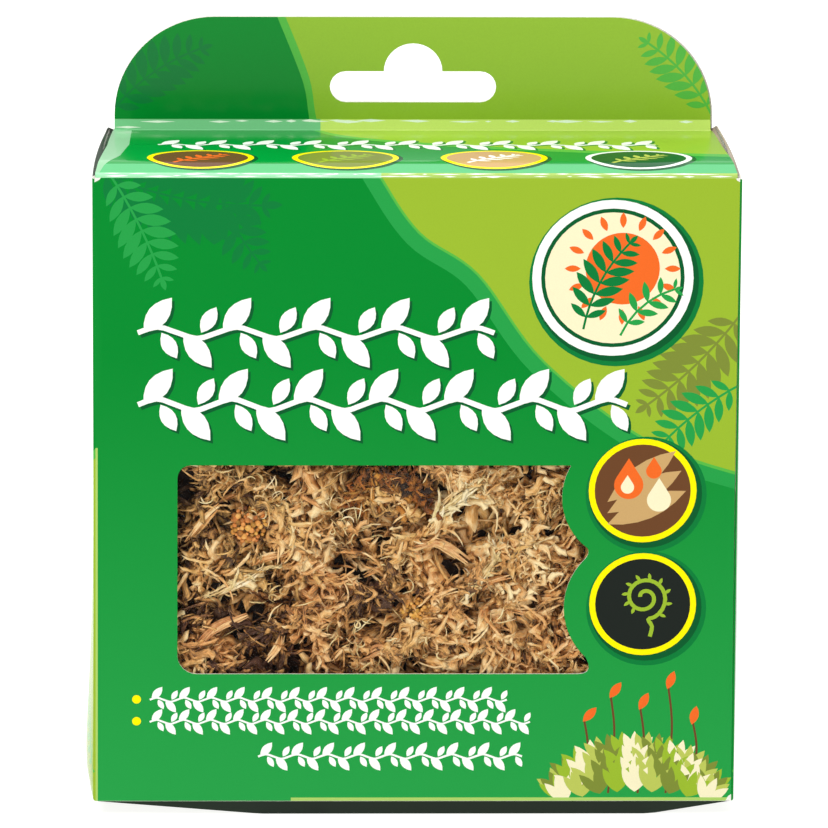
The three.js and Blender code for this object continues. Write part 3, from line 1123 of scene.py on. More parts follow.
@dataclass(frozen=True)
class Artwork:
    """The carton's print: green and lime fields with ferns, leaf garlands and roundels."""

    sizes: CartonSizes
    seam: tuple[Point, ...] = (
        (-34, 200), (-27, 182), (-24, 168), (-14, 156), (12, 146), (50, 139), (90, 135)
    )
    sweep: tuple[Point, ...] = ((-15, 178), (-9, 166.7), (1, 152), (16, 141), (33, 118), (60, 97), (88, 87))
    back_seam: tuple[Point, ...] = ((-33, 199), (-24, 178), (-14, 160), (12, 140), (46, 126), (83.5, 118))
    roundels: tuple[Point, ...] = ((58.3, 83.7), (58.65, 53.3))

    def front(self) -> Drawing:
        """The front panel's print, in its x and height.

        Returns:
            The print.
        """
        art, ((x, upper), (low_x, lower)) = Drawing(), self.roundels
        line = curve(self.sweep, 8)
        art.fill(Ink.SOFT_GREEN, stroke(line, 9.0))
        art.fill(Ink.MID_GREEN, stroke(moved(line, 1.2, 1.2), 4.6))
        art.fill(Ink.LIME, [*line, (self.sizes.half_width + 8, self.sweep[0][1])])
        for frond in (
            (-82, 168, 44, -24, 26, Ink.SHADE_GREEN), (-78, 167, 30, -58, -14, Ink.SOFT_GREEN),
            (-52, 168, 27, -74, 24, Ink.SHADE_GREEN), (83, 131, 34, -126, -18, Ink.OLIVE),
            (83, 112, 26, -150, 20, Ink.SOFT_GREEN),
        ):
            art.frond(*frond)
        art.sun_medallion(50, 140, 20.5)
        art.garland(-71, 20, 125.5, 15, Ink.WHITE, Ink.DEEP_GREEN)
        art.garland(-71, 54, 106.5, 15.5, Ink.WHITE, Ink.DEEP_GREEN)
        art.roundel(x, upper, 13.8, Ink.YELLOW, Ink.BROWN)
        art.fill(Ink.TAN, *(leaf(x - 9, upper - 9 + 3 * i, 22, 6, 24 + 7 * i) for i in range(3)))
        for dx, dy, size, ink in (
            (-3.6, 1.5, 7.5, Ink.ORANGE), (4.2, -2.5, 6.2, Ink.CREAM), (2.8, 5.2, 4.0, Ink.ORANGE),
            (-3.9, 0.9, 3.4, Ink.CREAM),
        ):
            art.fill(ink, drop(x + dx, upper + dy, size))
        art.roundel(low_x, lower, 13.7, Ink.YELLOW, Ink.BLACK)
        art.fiddlehead(low_x + 0.4, lower + 1.8, 6.0, Ink.LIME)
        for x0, x1, y, size in ((-68, 24, 27.6, 5.6), (-68, 30, 21.6, 5.6), (-40, 28, 12.2, 6.2)):
            art.garland(x0, x1, y, size, Ink.WHITE)
        art.fill(Ink.YELLOW, *(disc(-71.4, y, 1.15, 16) for y in (27.7, 21.8)))
        art.moss_mound(57, 2.2, 40, (Ink.MOSS, Ink.OLIVE, Ink.LIME, Ink.CREAM))
        art.box(Ink.PALE_LIME, -31.5, -1, 84, 1.05)
        art.box(Ink.PALE_LIME, -84, -1, -81.35, 95)
        w, top = self.sizes.half_width, self.sizes.wall_top + 1
        art.fill(
            Ink.BARE,  # scuffed corners
            [(-w - 1, top), (-w - 1, top - 3.4), (-w + 1.9, top - 1.9), (-w + 3.2, top)],
            [(w + 1, top), (w - 2.3, top), (w - 1.4, top - 1.9), (w + 1, top - 3.2)],
            [(w + 1, -1), (w + 1, 3.0), (w - 1.4, 1.4), (w - 2.6, -1)],
        )
        return art

    def lid(self, first: float, scores: Pair) -> Drawing:
        """The print of the lid, score strip and hanger, in x and distance.

        Args:
            first: The print coordinate of the lid's front edge.
            scores: The print coordinates of the two scores.

        Returns:
            The print.
        """
        art, line = Drawing(), curve(self.seam, 6)
        art.fill(Ink.MID_GREEN, stroke(moved(line, 0, -1.0), 3.2))
        art.fill(Ink.HANGER_LIME, [*line, (self.seam[-1][0], self.seam[0][1])])
        low, high = scores[0] - 0.2, scores[1] + 0.1
        seam_x = self.seam[2][0]
        # painted reflection: a lighter band across the lid's front roll
        art.box(Ink.ROLL_GREEN, -83, first - 1, 83, first + 4.8)
        # painted reflection: a pale patch of glare over the lid's left end
        glare = [(-79.5, first + 4), (-75.5, first + 12), (-73.4, first + 24), (-73, low), (-84, low)]
        art.fill(Ink.WASHED_GREEN, [(-84, first - 1), (-81, first - 1), *glare])
        # painted reflection: the strip between the scores is lightened in both fields
        art.box(Ink.STRETCHED_GREEN, -90, low, seam_x, high)
        art.box(Ink.STRETCHED_LIME, seam_x, low, 90, high)
        art.garland(-66, 62, first + 24, 9.5, Ink.WHITE, Ink.SHADE_GREEN)
        for x, rim, ink, sprig in (
            (-55, Ink.YELLOW, Ink.BROWN, Ink.ORANGE), (-18, Ink.YELLOW, Ink.OLIVE, Ink.LIME),
            (20, Ink.YELLOW, Ink.TAN, Ink.WHITE), (57, Ink.WHITE, Ink.DEEP_GREEN, Ink.MOSS),
        ):
            oval = Drawing()
            oval.fill(Ink.DEEP_GREEN, disc(x + 0.3, first + 9.1, 7.9))
            oval.medallion(x, first + 9.8, 7.6, rim, ink)
            oval.frond(x - 3.8, first + 5.8, 9.5, 50, -12, sprig)
            art.add(oval, lambda px, py, x=x: (x + 1.8 * (px - x), py))
        art.frond(-79, scores[1] + 1, 30, 52, -34, Ink.SHADE_GREEN)
        art.frond(78, scores[1] + 1, 26, 118, 30, Ink.MID_GREEN)
        # cracked varnish and painted glints along the hanger's upper score
        for x0, x1, drop_by in ((-71, -61.6, 0.7), (-53.1, -47.3, 0.7), (-77.6, -70.5, 2.2)):
            art.sliver(Ink.CHALK, x0, x1, high - drop_by, -0.6)
        lines = (scores[1] - 0.5, scores[1] - 0.3)
        art.cracks(Ink.CHALK, lines, self.sizes.hanger_half, 0.85, 0.42)
        return art

    def crease(self, start: float, end: float) -> Drawing:
        """The print of the lid's crease, from its start to its end: a pale ground and white slivers that are
        worn coating and painted highlight.

        Args:
            start: The crease's first height.
            end: Its last height.

        Returns:
            The print.
        """
        art, w = Drawing(), self.sizes.half_width
        # worn coating and painted highlight: the crease's pale ground and white slivers
        art.box(Ink.WORN_LIME, self.sweep[1][0], start - 1, w + 1, end + 1)
        lines = [start + (end - start) * share for share in (0.26, 0.3, 0.72, 0.76)]
        art.cracks(Ink.WHITE, lines, w - 1, 0.5, 0.75)
        return art

    def side(self, side: int) -> Drawing:
        """A side panel's print, in its depth and height: green over lime, parted aslant.

        Args:
            side: 0 for the left panel, 1 for the right.

        Returns:
            The print.
        """
        art, d, top = Drawing(), self.sizes.half_depth, self.sizes.wall_top
        front, rear = ((95, 40), (top + 8, 60))[side]
        for lift, ink in ((0, Ink.MID_GREEN), (2.5, Ink.DARK_GREEN)):
            ends = [(-d - 3, front + lift), (d + 3, rear + lift)]
            art.fill(ink, [*ends, (d + 3, top + 9), (-d - 3, top + 9)])
        vine = Drawing()
        vine.garland(12, 38, 0, 15, Ink.SOFT_GREEN)
        vine.garland(56, 106, 0, 21, Ink.WHITE, Ink.DEEP_GREEN)
        art.add(vine, lambda x, y: (y, x))
        art.roundel(0, 136, 12.5, Ink.YELLOW, Ink.DEEP_GREEN)
        art.fiddlehead(0.4, 138, 5.6, Ink.LIME)
        art.frond(-d, 8, 24, 40, 22, Ink.MID_GREEN)
        art.frond(d, 10, 22, 142, -18, Ink.MID_GREEN)
        art.fill(Ink.BARE, [(-d - 2, top - 1), (-d + 2, top + 2), (-d - 2, top + 2)])
        return art

    def back(self) -> Drawing:
        """The back panel's print, in x and height.

        Returns:
            The print.
        """
        art, s, line = Drawing(), self.sizes, curve(self.back_seam, 6)
        art.fill(Ink.MID_GREEN, stroke(line, 6.0))
        corners = [(s.half_width + 2, s.hanger_top + 2), (self.back_seam[0][0], s.hanger_top + 2)]
        art.fill(Ink.LIME, [*line, *corners])
        art.garland(-70, 0, 140, 14, Ink.WHITE, Ink.DEEP_GREEN)
        art.frond(82, 168, 34, -140, -22, Ink.SOFT_GREEN)
        for x0, y0, x1, y1 in ((-73, 74, -4, 122), (4, 74, 73, 108), (-73, 18, 73, 66)):
            art.fill(Ink.YELLOW, rounded(x0 - 0.8, y0 - 0.8, x1 + 0.8, y1 + 0.8, 4.6))
            art.fill(Ink.CREAM, rounded(x0, y0, x1, y1, 4))
        for i in range(5):
            art.garland(-66, -11, 114 - 8 * i, 6.0, Ink.SHADE_GREEN)
        grounds = ((Ink.ORANGE, Ink.CREAM), (Ink.LIME, Ink.DEEP_GREEN), (Ink.BROWN, Ink.MOSS))
        for i, (ground, ink) in enumerate(grounds):
            art.roundel(16 + 22.5 * i, 91, 8.6, Ink.WHITE, ground)
            art.frond(12.5 + 22.5 * i, 86, 10.5, 56, -20, ink)
        for i in range(5):
            x = -58 + 29 * i
            art.frond(x, 28, 30, 96 - 4 * i, -26 + 13 * i, Ink.SOFT_GREEN)
            art.fill(Ink.ORANGE, disc(x + 2, 25, 1.8, 20))
        art.garland(-66, 66, 22.5, 5, Ink.OLIVE)
        art.fill(Ink.LIME, rounded(-70, 8, 70, 9.2, 0.5))
        return art


@dataclass
class Carton:
    """The folded carton: walls, lid with hanger, flaps, window film and creases.

    Attributes:
        fold_radius: The outer radius of a wall's crease.
        crease_radius: The outer radius of the lid's crease.
        score_radius: The radius of the two scores under the hanger.
        strip: Length and slope of the sloping strip between the scores.
        hanger_radius: Radius of the hanger's two upper corners.
        dish: How far the front and back walls sink between their creases.
        dents: The spans of that sinking's waves, across and up.
        lid_front: Length of the lid's sloping front, of the roll behind it, and its slope.
        crown: The slope that is left behind the roll, from which the lid arches over.
        spring: How far the left and right dust flaps stand up at the rear.
        drawn_in: How far the side walls' tops are drawn inwards at the rear.
        swell: What is added to the left and right walls' bulge, where, and how sharply.
        stand: How far the left and right walls stand out all the way up.
        flare: How far the feet of the left and right walls are spread.
        base_ramps: Where the base starts to rise to the left and right feet, and its run.
        base_roll: How far behind the walls the base's bulge reaches the floor.
    """

    sizes: CartonSizes
    finishes: Finishes
    window: WindowCut = WindowCut()
    slot: HangSlot = HangSlot()
    fold_radius: float = 0.6
    crease_radius: float = 1.2
    score_radius: float = 0.4
    strip: Pair = (2.5, 63.5)
    hanger_radius: float = 26.0
    dish: float = 0.18
    dents: Pair = (17, 23)
    lid_front: Triple = (4.4, 3.0, 15.5)
    crown: float = 2.5
    spring: Pair = (2.2, 2.9)
    drawn_in: float = 3.4
    swell: tuple[Triple, ...] = ((0.7, 0.23, 3.0), (0.0, 0.62, 0.7))
    stand: Pair = (0.0, 0.45)
    flare: Pair = (0.4, 0.9)
    base_ramps: tuple[Point, Point] = ((40, 41.5), (62, 20))
    base_roll: float = 1.5

    def build(self) -> list[Piece]:
        """Builds every piece of the carton, and seats each piece but the lid's crease.

        Returns:
            The pieces.
        """
        self.art = Artwork(self.sizes)
        pieces = [self._front(), self._back(), self._seam_flap(), self._lid(), self._crease()]
        pieces += self._base()
        for side, label in enumerate(("left", "right")):
            pieces += [self._side(side, label), self._dust_flap(side, label)]
        film = frame["nodes"]["window_film"].data
        film.materials.clear()
        film.materials.append(self.finishes.film)
        return pieces

    def _panel(self, node: str, slot: str, *form: Any, **looks: Any) -> Piece:
        """Builds a panel and seats it on the carton's body.

        Args:
            node: The CAD node that it stands for.
            slot: Its slot.
            form: Its name, outline, shape, outward side and, where it has one, print.
            looks: The other fields of its PrintedPanel.

        Returns:
            The piece.
        """
        return seat(PrintedPanel(*form, **looks).build(self.finishes), CARTON_BODY, slot, node)

    def _wall(self, mirror: int, x: Array, height: Array) -> Array:
        """Places on the front wall, or on the back wall when mirror is -1.

        Args:
            mirror: 1 for the front wall, -1 for the back wall.
            x: How far right they are.
            height: Their print heights.

        Returns:
            The places.
        """
        s = self.sizes
        across, up = np.clip(0.5 + x / s.half_width / 2, 0, 1), np.clip(height / s.wall_top, 0, 1)
        sunk = self.dish * np.sin(pi * across) * np.sin(pi * up)
        sunk = sunk * np.sin(x / self.dents[0] + height / self.dents[1]) ** 2
        spread = np.where(x < 0, -self._flare(0, up), self._flare(1, up)) * np.abs(x) / s.half_width
        y = mirror * (sunk + self._inset(height) - s.half_depth)
        return np.stack([x + spread, y, height + FOOT_RISE], 1)

    def _inset(self, height: Array) -> Array:
        """How far the crease at a wall's foot has turned in at a height."""
        short = np.clip(self.fold_radius - height, 0, self.fold_radius)
        return self.fold_radius - np.sqrt(self.fold_radius**2 - short**2)

    def _front(self) -> Piece:
        """The front wall with the window.

        Returns:
            The piece.
        """
        x, top = self.sizes.half_width - self.fold_radius, self.sizes.lid_top - self.crease_radius
        # painted light: the ground lightens to soft green towards the wall's foot, as if lit from the floor
        return self._panel(
            "front_panel", "printed_board", "front_wall", rectangle(-x, 0, x, top), partial(self._wall, 1),
            1, self.art.front(), fade=Ink.SOFT_GREEN, cutouts=[self.window.outline()],
            cross_folds=self._roll_lines(),
        )

    def _roll_lines(self) -> list[float]:
        """Print heights of the mesh lines in the fold at a wall's foot."""
        return [self.fold_radius * share * share for share in (0.25, 0.45, 0.7, 1.0)]

    def _hanger_top(self) -> list[Point]:
        """The hanger's upper outline, from right to left."""
        x, r, top = self.sizes.hanger_half, self.hanger_radius, self.sizes.hanger_top
        return arc(x - r, top - r, r, 0, 90, 20) + arc(r - x, top - r, r, 90, 180, 20)

    def _back(self) -> Piece:
        """The back wall, which runs up as the hanger's rear ply.

        Returns:
            The piece.
        """
        s, r = self.sizes, self.fold_radius
        x, shoulder = s.half_width - r, s.lid_top - 2 * r
        edge = [(x - lean, height) for lean, height in self._rear_edge()]
        edge += [(x - self.drawn_in, shoulder), (s.hanger_half, shoulder + 2)]
        outline = [(-x, 0), (x, 0), *edge, *self._hanger_top(), *((-u, v) for u, v in reversed(edge))]
        return self._panel(
            "back_panel", "printed_board", "back_wall_and_hanger", outline, partial(self._wall, -1), -1,
            self.art.back(), cutouts=[self.slot.outline(s.lid_top)], cross_folds=self._roll_lines(),
        )

    def _rear_edge(self) -> list[Point]:
        """How far a side wall's rear edge is drawn inwards, at heights up to its top."""
        shares = (0.74, 0.8, 0.85, 0.89, 0.92, 0.95, 0.975)
        return [(self.drawn_in * share**14, share * self.sizes.wall_top) for share in shares]

    def _seam_flap(self) -> Piece:
        """The seam flap, folded from the left side wall and glued behind the back wall.

        Returns:
            The piece.
        """
        low, high = box_mm("glue_flap")
        foot, top = low.z - FOOT_RISE, high.z - FOOT_RISE
        edge = [(low.x + lean, height) for lean, height in self._rear_edge() if height < top]
        outline = [(low.x, foot), (high.x, foot), (high.x, top), (edge[-1][0] + 0.8, top), *edge[::-1]]

        def shape(x: Array, height: Array) -> Array:
            """Places on the flap."""
            return np.stack([x, np.full_like(x, high.y), height + FOOT_RISE], 1)

        return self._panel("glue_flap", "flap_board", "seam_flap", outline, shape, -1)

    def _crease_profile(self) -> FoldProfile:
        """The section of the crease between the front wall and the lid.

        Returns:
            The section.
        """
        s, r = self.sizes, self.crease_radius
        start = (-s.half_depth, s.lid_top - r)
        return FoldProfile(start, 90, (fold(r, self.lid_front[2] - 90),), start[1])

    def _lid_profile(self) -> tuple[FoldProfile, Pair]:
        """The lid's section from its crease to the hanger's top.

        The lid rises from its crease, rolls level, and falls a little to the first score.

        Returns:
            The section, and the print coordinates of its two scores.
        """
        s, r, (slope_length, slope) = self.sizes, self.score_radius, self.strip
        crease = self._crease_profile()
        (start_y,), (start_z,), _ = crease.at(np.array([crease.end]))
        front, roll_length, rise = self.lid_front
        rolled = ((front, 0.0), (roll_length, self.crown - rise))
        front_part = FoldProfile((start_y, start_z), rise, rolled)
        (top_y,), (top_z,), _ = front_part.at(np.array([front_part.end]))
        tilt = radians(slope)
        valley = s.ply_front - r - slope_length * cos(tilt)
        foot = s.score_top + r + slope_length * sin(tilt)
        fall = atan2(top_z - s.score_top, valley - top_y)
        chord = hypot(top_z - s.score_top, valley - top_y)
        half_turn = fall + radians(self.crown)
        stretches = (
            *rolled, (chord * half_turn / sin(half_turn), -2 * degrees(half_turn)),
            fold(r, slope + degrees(2 * fall) + self.crown), (slope_length, 0.0), fold(r, 90 - slope),
            (s.hanger_top - foot, 0.0),
        )
        first = s.hanger_top - sum(length for length, _ in stretches)
        valley_score = first + sum(length for length, _ in stretches[:3]) + stretches[3][0] / 2
        profile = FoldProfile((start_y, start_z), rise, stretches, first)
        return profile, (valley_score, foot - stretches[5][0] / 2)

    @staticmethod
    def _swept(profile: FoldProfile, x: Array, along: Array) -> Array:
        """Places on a surface with the same section all across the carton."""
        y, z, _ = profile.at(along)
        return np.stack([x, y, z + FOOT_RISE], 1)

    def _lid(self) -> Piece:
        """The lid, score strip and hanger front ply, folded from one flap.

        Returns:
            The piece.
        """
        s = self.sizes
        profile, scores = self._lid_profile()
        waist = (0.3 * s.lid_front + 0.7 * s.lid_rear, (profile.first + scores[0]) / 2)
        edge = [(s.lid_front, profile.first), waist, (s.lid_rear, scores[0] - 0.6)]
        edge.append((s.hanger_half, scores[0] + 0.2))
        left = [(-x, y) for x, y in reversed(edge)]
        outline = [left[-1], *edge, *self._hanger_top(), *left[:-1]]
        # painted light: the ground fades from a lighter green at the lid's front to dark green towards the
        # hanger
        panel = PrintedPanel(
            "lid_and_hanger_front", outline, partial(self._swept, profile), 1,
            self.art.lid(profile.first, scores), fade=Ink.LID_GREEN,
            cutouts=[self.slot.outline(s.lid_top)], cross_folds=profile.folds(), glossy=True,
        )
        nodes = ("lid_panel", "hanger_score_strip", "hanger_front_ply")
        return seat(panel.build(self.finishes), LID_BODY, "printed_board", *nodes)

    def _crease(self) -> Piece:
        """The rounded crease that joins the lid to the front wall.

        Returns:
            The piece.
        """
        profile, x = self._crease_profile(), self.sizes.lid_front
        start, end = profile.first, profile.end
        # the crease's pale ground is worn coating and painted highlight
        panel = PrintedPanel(
            "lid_crease_fold", rectangle(-x, start, x, end), partial(self._swept, profile), 1,
            self.art.crease(start, end), ground=Ink.WORN_GREEN, cross_folds=profile.folds()[1:-1],
            glossy=True,
        )
        piece = panel.build(self.finishes)
        (end_y,), (end_z,), _ = profile.at(np.array([end]))
        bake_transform(piece)
        return piece

    def _side_wall(self, side: int, section: FoldProfile, along: Array, height: Array) -> Array:
        """Places on a side wall, which the moss pushes out and the hanger draws in.

        Args:
            side: 0 for the left wall, 1 for the right.
            section: The wall's level section.
            along: Coordinates along the section.
            height: Print heights.

        Returns:
            The places.
        """
        s, (more, low, peak) = self.sizes, self.swell[side]
        x, y, heading = section.at(along)
        up = np.clip(height / (s.wall_top - self.fold_radius), 0, 1)
        bow = np.sin(pi * self._rearward(y)) ** 0.8 * np.sin(pi * up**low) ** peak
        inset = self._inset(height)
        x = x + (s.bulge + more) * bow - inset * np.sin(heading) - self._lean(y) * up**14
        x = x + self._flare(side, up)
        raised = self._spring(side, y) * up**3
        return np.stack([(2 * side - 1) * x, y + inset * np.cos(heading), height + FOOT_RISE + raised], 1)

    def _side(self, side: int, label: str) -> Piece:
        """A side wall with its two upright creases.

        Args:
            side: 0 for the left wall, 1 for the right.
            label: Its name.

        Returns:
            The piece.
        """
        s, r = self.sizes, self.fold_radius
        stretches = (fold(r, 90), (2 * (s.half_depth - r), 0), fold(r, 90))
        start = (s.half_width - r, -s.half_depth)
        section = FoldProfile(start, 0, stretches, r - s.half_depth - fold(r, 90)[0])
        return self._panel(
            f"{label}_side_panel", "side_board", f"{label}_side_wall",
            rectangle(section.first, 0, section.end, s.wall_top - r),
            partial(self._side_wall, side, section),
            2 * side - 1, self.art.side(side), ground=Ink.LIME, cross_folds=self._roll_lines(),
            along_folds=section.folds()[1:-1], pitch=3.0,
        )

    def _dust_flap(self, side: int, label: str) -> Piece:
        """A top dust flap with its fold over the side wall.

        Args:
            side: 0 for the left flap, 1 for the right.
            label: Its name.

        Returns:
            The piece.
        """
        s, r = self.sizes, self.fold_radius
        node, sign = f"top_dust_flap_{label}", 2 * side - 1
        low, high = box_mm(node)
        section = FoldProfile((s.half_width, s.wall_top - r), 90, (fold(r, 90), (high.x - low.x, 0)), 0)

        def shape(y: Array, along: Array) -> Array:
            """Places on the flap.

            Args:
                y: How far back the points are.
                along: How far along the section they are.

            Returns:
                The places.
            """
            x, z, _ = section.at(along)
            outer = np.clip((x - s.lid_rear) / (s.half_width - s.lid_rear), 0, 1)
            z = z + FOOT_RISE + self._spring(side, y) * outer
            return np.stack([sign * (x - self._lean(y) * outer), y, z], 1)

        root, tip, corner = high.y, high.y - 5, 6
        end, rise = section.end - 2 * r, fold(r, 90)[0]
        outline = [(-root, 0), (root, 0), (root, rise), *arc(tip - corner, end - corner, corner, 0, 90, 6)]
        outline += [*arc(corner - tip, end - corner, corner, 90, 180, 6), (-root, rise)]
        bare = Region(rounded(-root - 2, 9, root + 2, end + 4, 2), Ink.BARE)
        # painted light: the left flap's slate ground paints shade under the lid's end, the right flap's
        # driftwood ground lit bare board
        return self._panel(
            node, "flap_board", f"{label}_top_dust_flap", outline, shape, sign, [bare],
            ground=(Ink.SLATE, Ink.DRIFTWOOD)[side], cross_folds=section.folds()[1:7],
        )

    def _rearward(self, y: Array) -> Array:
        """A depth as a share, 0 at the front and 1 at the rear."""
        return np.clip(0.5 + y / self.sizes.half_depth / 2, 0, 1)

    def _spring(self, side: int, y: Array) -> Array:
        """How far a dust flap's fold stands above the wall's top, growing to the rear."""
        return self.spring[side] * self._rearward(y) ** 1.4

    def _flare(self, side: int, up: Array) -> Array:
        """How far a wall's edge is spread at a share of its height, most at its foot."""
        return self.stand[side] + (self.flare[side] - self.stand[side]) * (1 - up) ** 3

    def _lean(self, y: Array) -> Array:
        """How far a side wall's top is drawn inwards, growing to the rear."""
        return self.drawn_in * self._rearward(y) ** 2.2

    def _bottom(self, level: float, u: Array, v: Array) -> Array:
        """Places on a bottom flap.

        Args:
            level: Its height over the walls' feet, or 0 for the outer flap, which bulges.
            u: How far right they are.
            v: How far back.

        Returns:
            The places.
        """
        (left, left_run), (right, right_run) = self.base_ramps
        ends = np.clip(np.maximum((-left - u) / left_run, (u - right) / right_run), 0, 1)
        flat_half = self.sizes.half_depth - self.fold_radius
        sides = np.clip((np.abs(v) - flat_half + self.base_roll) / self.base_roll, 0, 1) ** 2.0
        rise = (FOOT_RISE - 0.1) * np.maximum(ends, sides)
        return np.stack([u, v, np.full_like(u, FOOT_RISE + level) if level else rise], 1)

    def _base(self) -> list[Piece]:
        """The four bottom flaps, bulged down between the walls' feet by the moss.

        Returns:
            The pieces.
        """
        x, y = self.sizes.half_width - self.fold_radius, self.sizes.half_depth - self.fold_radius
        vine = Drawing()
        vine.garland(-56, 56, 0, 14, Ink.OLIVE)
        outer = rounded(-x - self.flare[0], -y, x + self.flare[1], y, 0.4)
        inner = rounded(0.6 - x, box_mm("bottom_inner_flap")[0].y, x - 0.6, y - 0.6, 0.4)
        # painted shade: the outer base flap's dark ground stands for the shade under the carton
        flaps = [
            ("base_flap", "bottom_outer_flap", "printed_board", outer, 0.0, vine, Ink.NIGHT_GREEN),
            ("inner_base_flap", "bottom_inner_flap", "flap_board", inner, 0.3, (), Ink.BARE),
        ]
        for label in ("left", "right"):
            node = f"bottom_dust_flap_{label}"
            low, high = box_mm(node)
            outline = rounded(max(low.x, 0.8 - x), 0.8 - y, min(high.x, x - 0.8), y - 0.8, 3.5)
            flaps.append((f"{label}_base_flap", node, "flap_board", outline, 1.1, (), Ink.BARE))
        return [
            self._panel(node, slot, name, ring, partial(self._bottom, level), -1, art, ground=ink, pitch=3.0)
            for name, node, slot, ring, level, art, ink in flaps
        ]


# ---- moss


@dataclass(frozen=True)
class Tone:
    """How light and how warm the moss is about one place, in x and print height."""

    x: float
    z: float
    tint: float
    warmth: float


TONES = tuple(
    Tone(*row)
    for row in (
        (-61, 82, -0.05, 0.30), (-60, 67, 0.40, 0.40), (-58, 51, 0.0, 0.50), (-54, 39, 0.46, 0.80),
        (-50, 85, 0.48, 0.35), (-50, 66, 0.55, 0.30), (-43, 60, 0.66, 0.20), (-41, 46, 0.14, 0.95),
        (-34, 84, 0.46, 0.50), (-28, 75, 0.60, 0.55), (-18, 79, 0.74, 0.45), (-24, 60, 0.56, 0.80),
        (-27, 43, 0.58, 0.75), (-5, 86, 0.22, 0.50), (-5, 56, 0.24, 0.60), (0, 71, 0.72, 0.55),
        (9, 60, 0.56, 0.70), (14, 79, 0.92, 0.15), (18, 63, 0.84, 0.25), (2, 44, 0.66, 0.45),
        (25, 47, 0.78, 0.45), (28, 71, 0.80, 0.40), (35, 82, 0.52, 0.40), (38, 64, 0.60, 0.60),
        (38, 43, 0.50, 0.65),
    )
)


def tone_at(x: float, z: float) -> Pair:
    """The moss's tint and warmth at a place, blended from the tones about it.

    Args:
        x: How far right the place is.
        z: Its height.

    Returns:
        The tint and the warmth.
    """
    total = tint = warmth = 0.0
    for tone in TONES:
        weight = 1 / (30 + (x - tone.x) ** 2 + (z - FOOT_RISE - tone.z) ** 2) ** 1.5
        total += weight
        tint += weight * tone.tint
        warmth += weight * tone.warmth
    return tint / total, warmth / total


@dataclass
class Spine:
    """The line of one stem, with its thickness and colour.

    Where toned is set, tint and warmth are added to those of the places that it crosses.
    """

    points: list[Vector]
    girth: float = 1.0
    tint: float = 0.5
    warmth: float = 0.5
    toned: bool = False


def spine_lines(name: str, spines: Sequence[Spine]) -> Piece:
    """Puts spines in one mesh of edges, with their girth, tint and warmth on its points.

    Args:
        name: The object's name.
        spines: The spines.

    Returns:
        The object.
    """
    points: list[Vector] = []
    edges: list[tuple[int, int]] = []
    values: list[Triple] = []
    for spine in spines:
        start = len(points)
        points += [p * MM for p in spine.points]
        edges += [(i, i + 1) for i in range(start, len(points) - 1)]
        for point in spine.points:
            tint, warmth = tone_at(point.x, point.z) if spine.toned else (0.0, 0.0)
            values.append((spine.girth, spine.tint + tint, spine.warmth + warmth))
    mesh = bpy.data.meshes.new(name)
    mesh.from_pydata(points, edges, [])
    for key, stored in zip(("girth", "tint", "warmth"), zip(*values, strict=True), strict=True):
        mesh.attributes.new(key, "FLOAT", "POINT").data.foreach_set("value", stored)
    return placed(name, mesh)


def wander(
    rng: Random, start: Vector, heading: float, length: float, curl: float, drift: float
) -> list[Vector]:
    """A wandering line that keeps near the upright plane that it starts in.

    Args:
        rng: The random source.
        start: Its first point.
        heading: Its first direction in the plane, in radians.
        length: Its length.
        curl: How much it turns at each step, in radians.
        drift: How far it may move in depth.

    Returns:
        Its points.
    """
    steps = 6
    turn, points = rng.gauss(0, curl), [start.copy()]
    for i in range(steps):
        heading += turn + rng.gauss(0, curl * 0.7)
        y = start.y + drift * sin(pi * (i + 1) / steps + turn)
        x = points[-1].x + length / steps * cos(heading)
        points.append(Vector((x, y, points[-1].z + length / steps * sin(heading))))
    return points


CURL = 0.10  # how far a branchlet ripples, as a share of its length


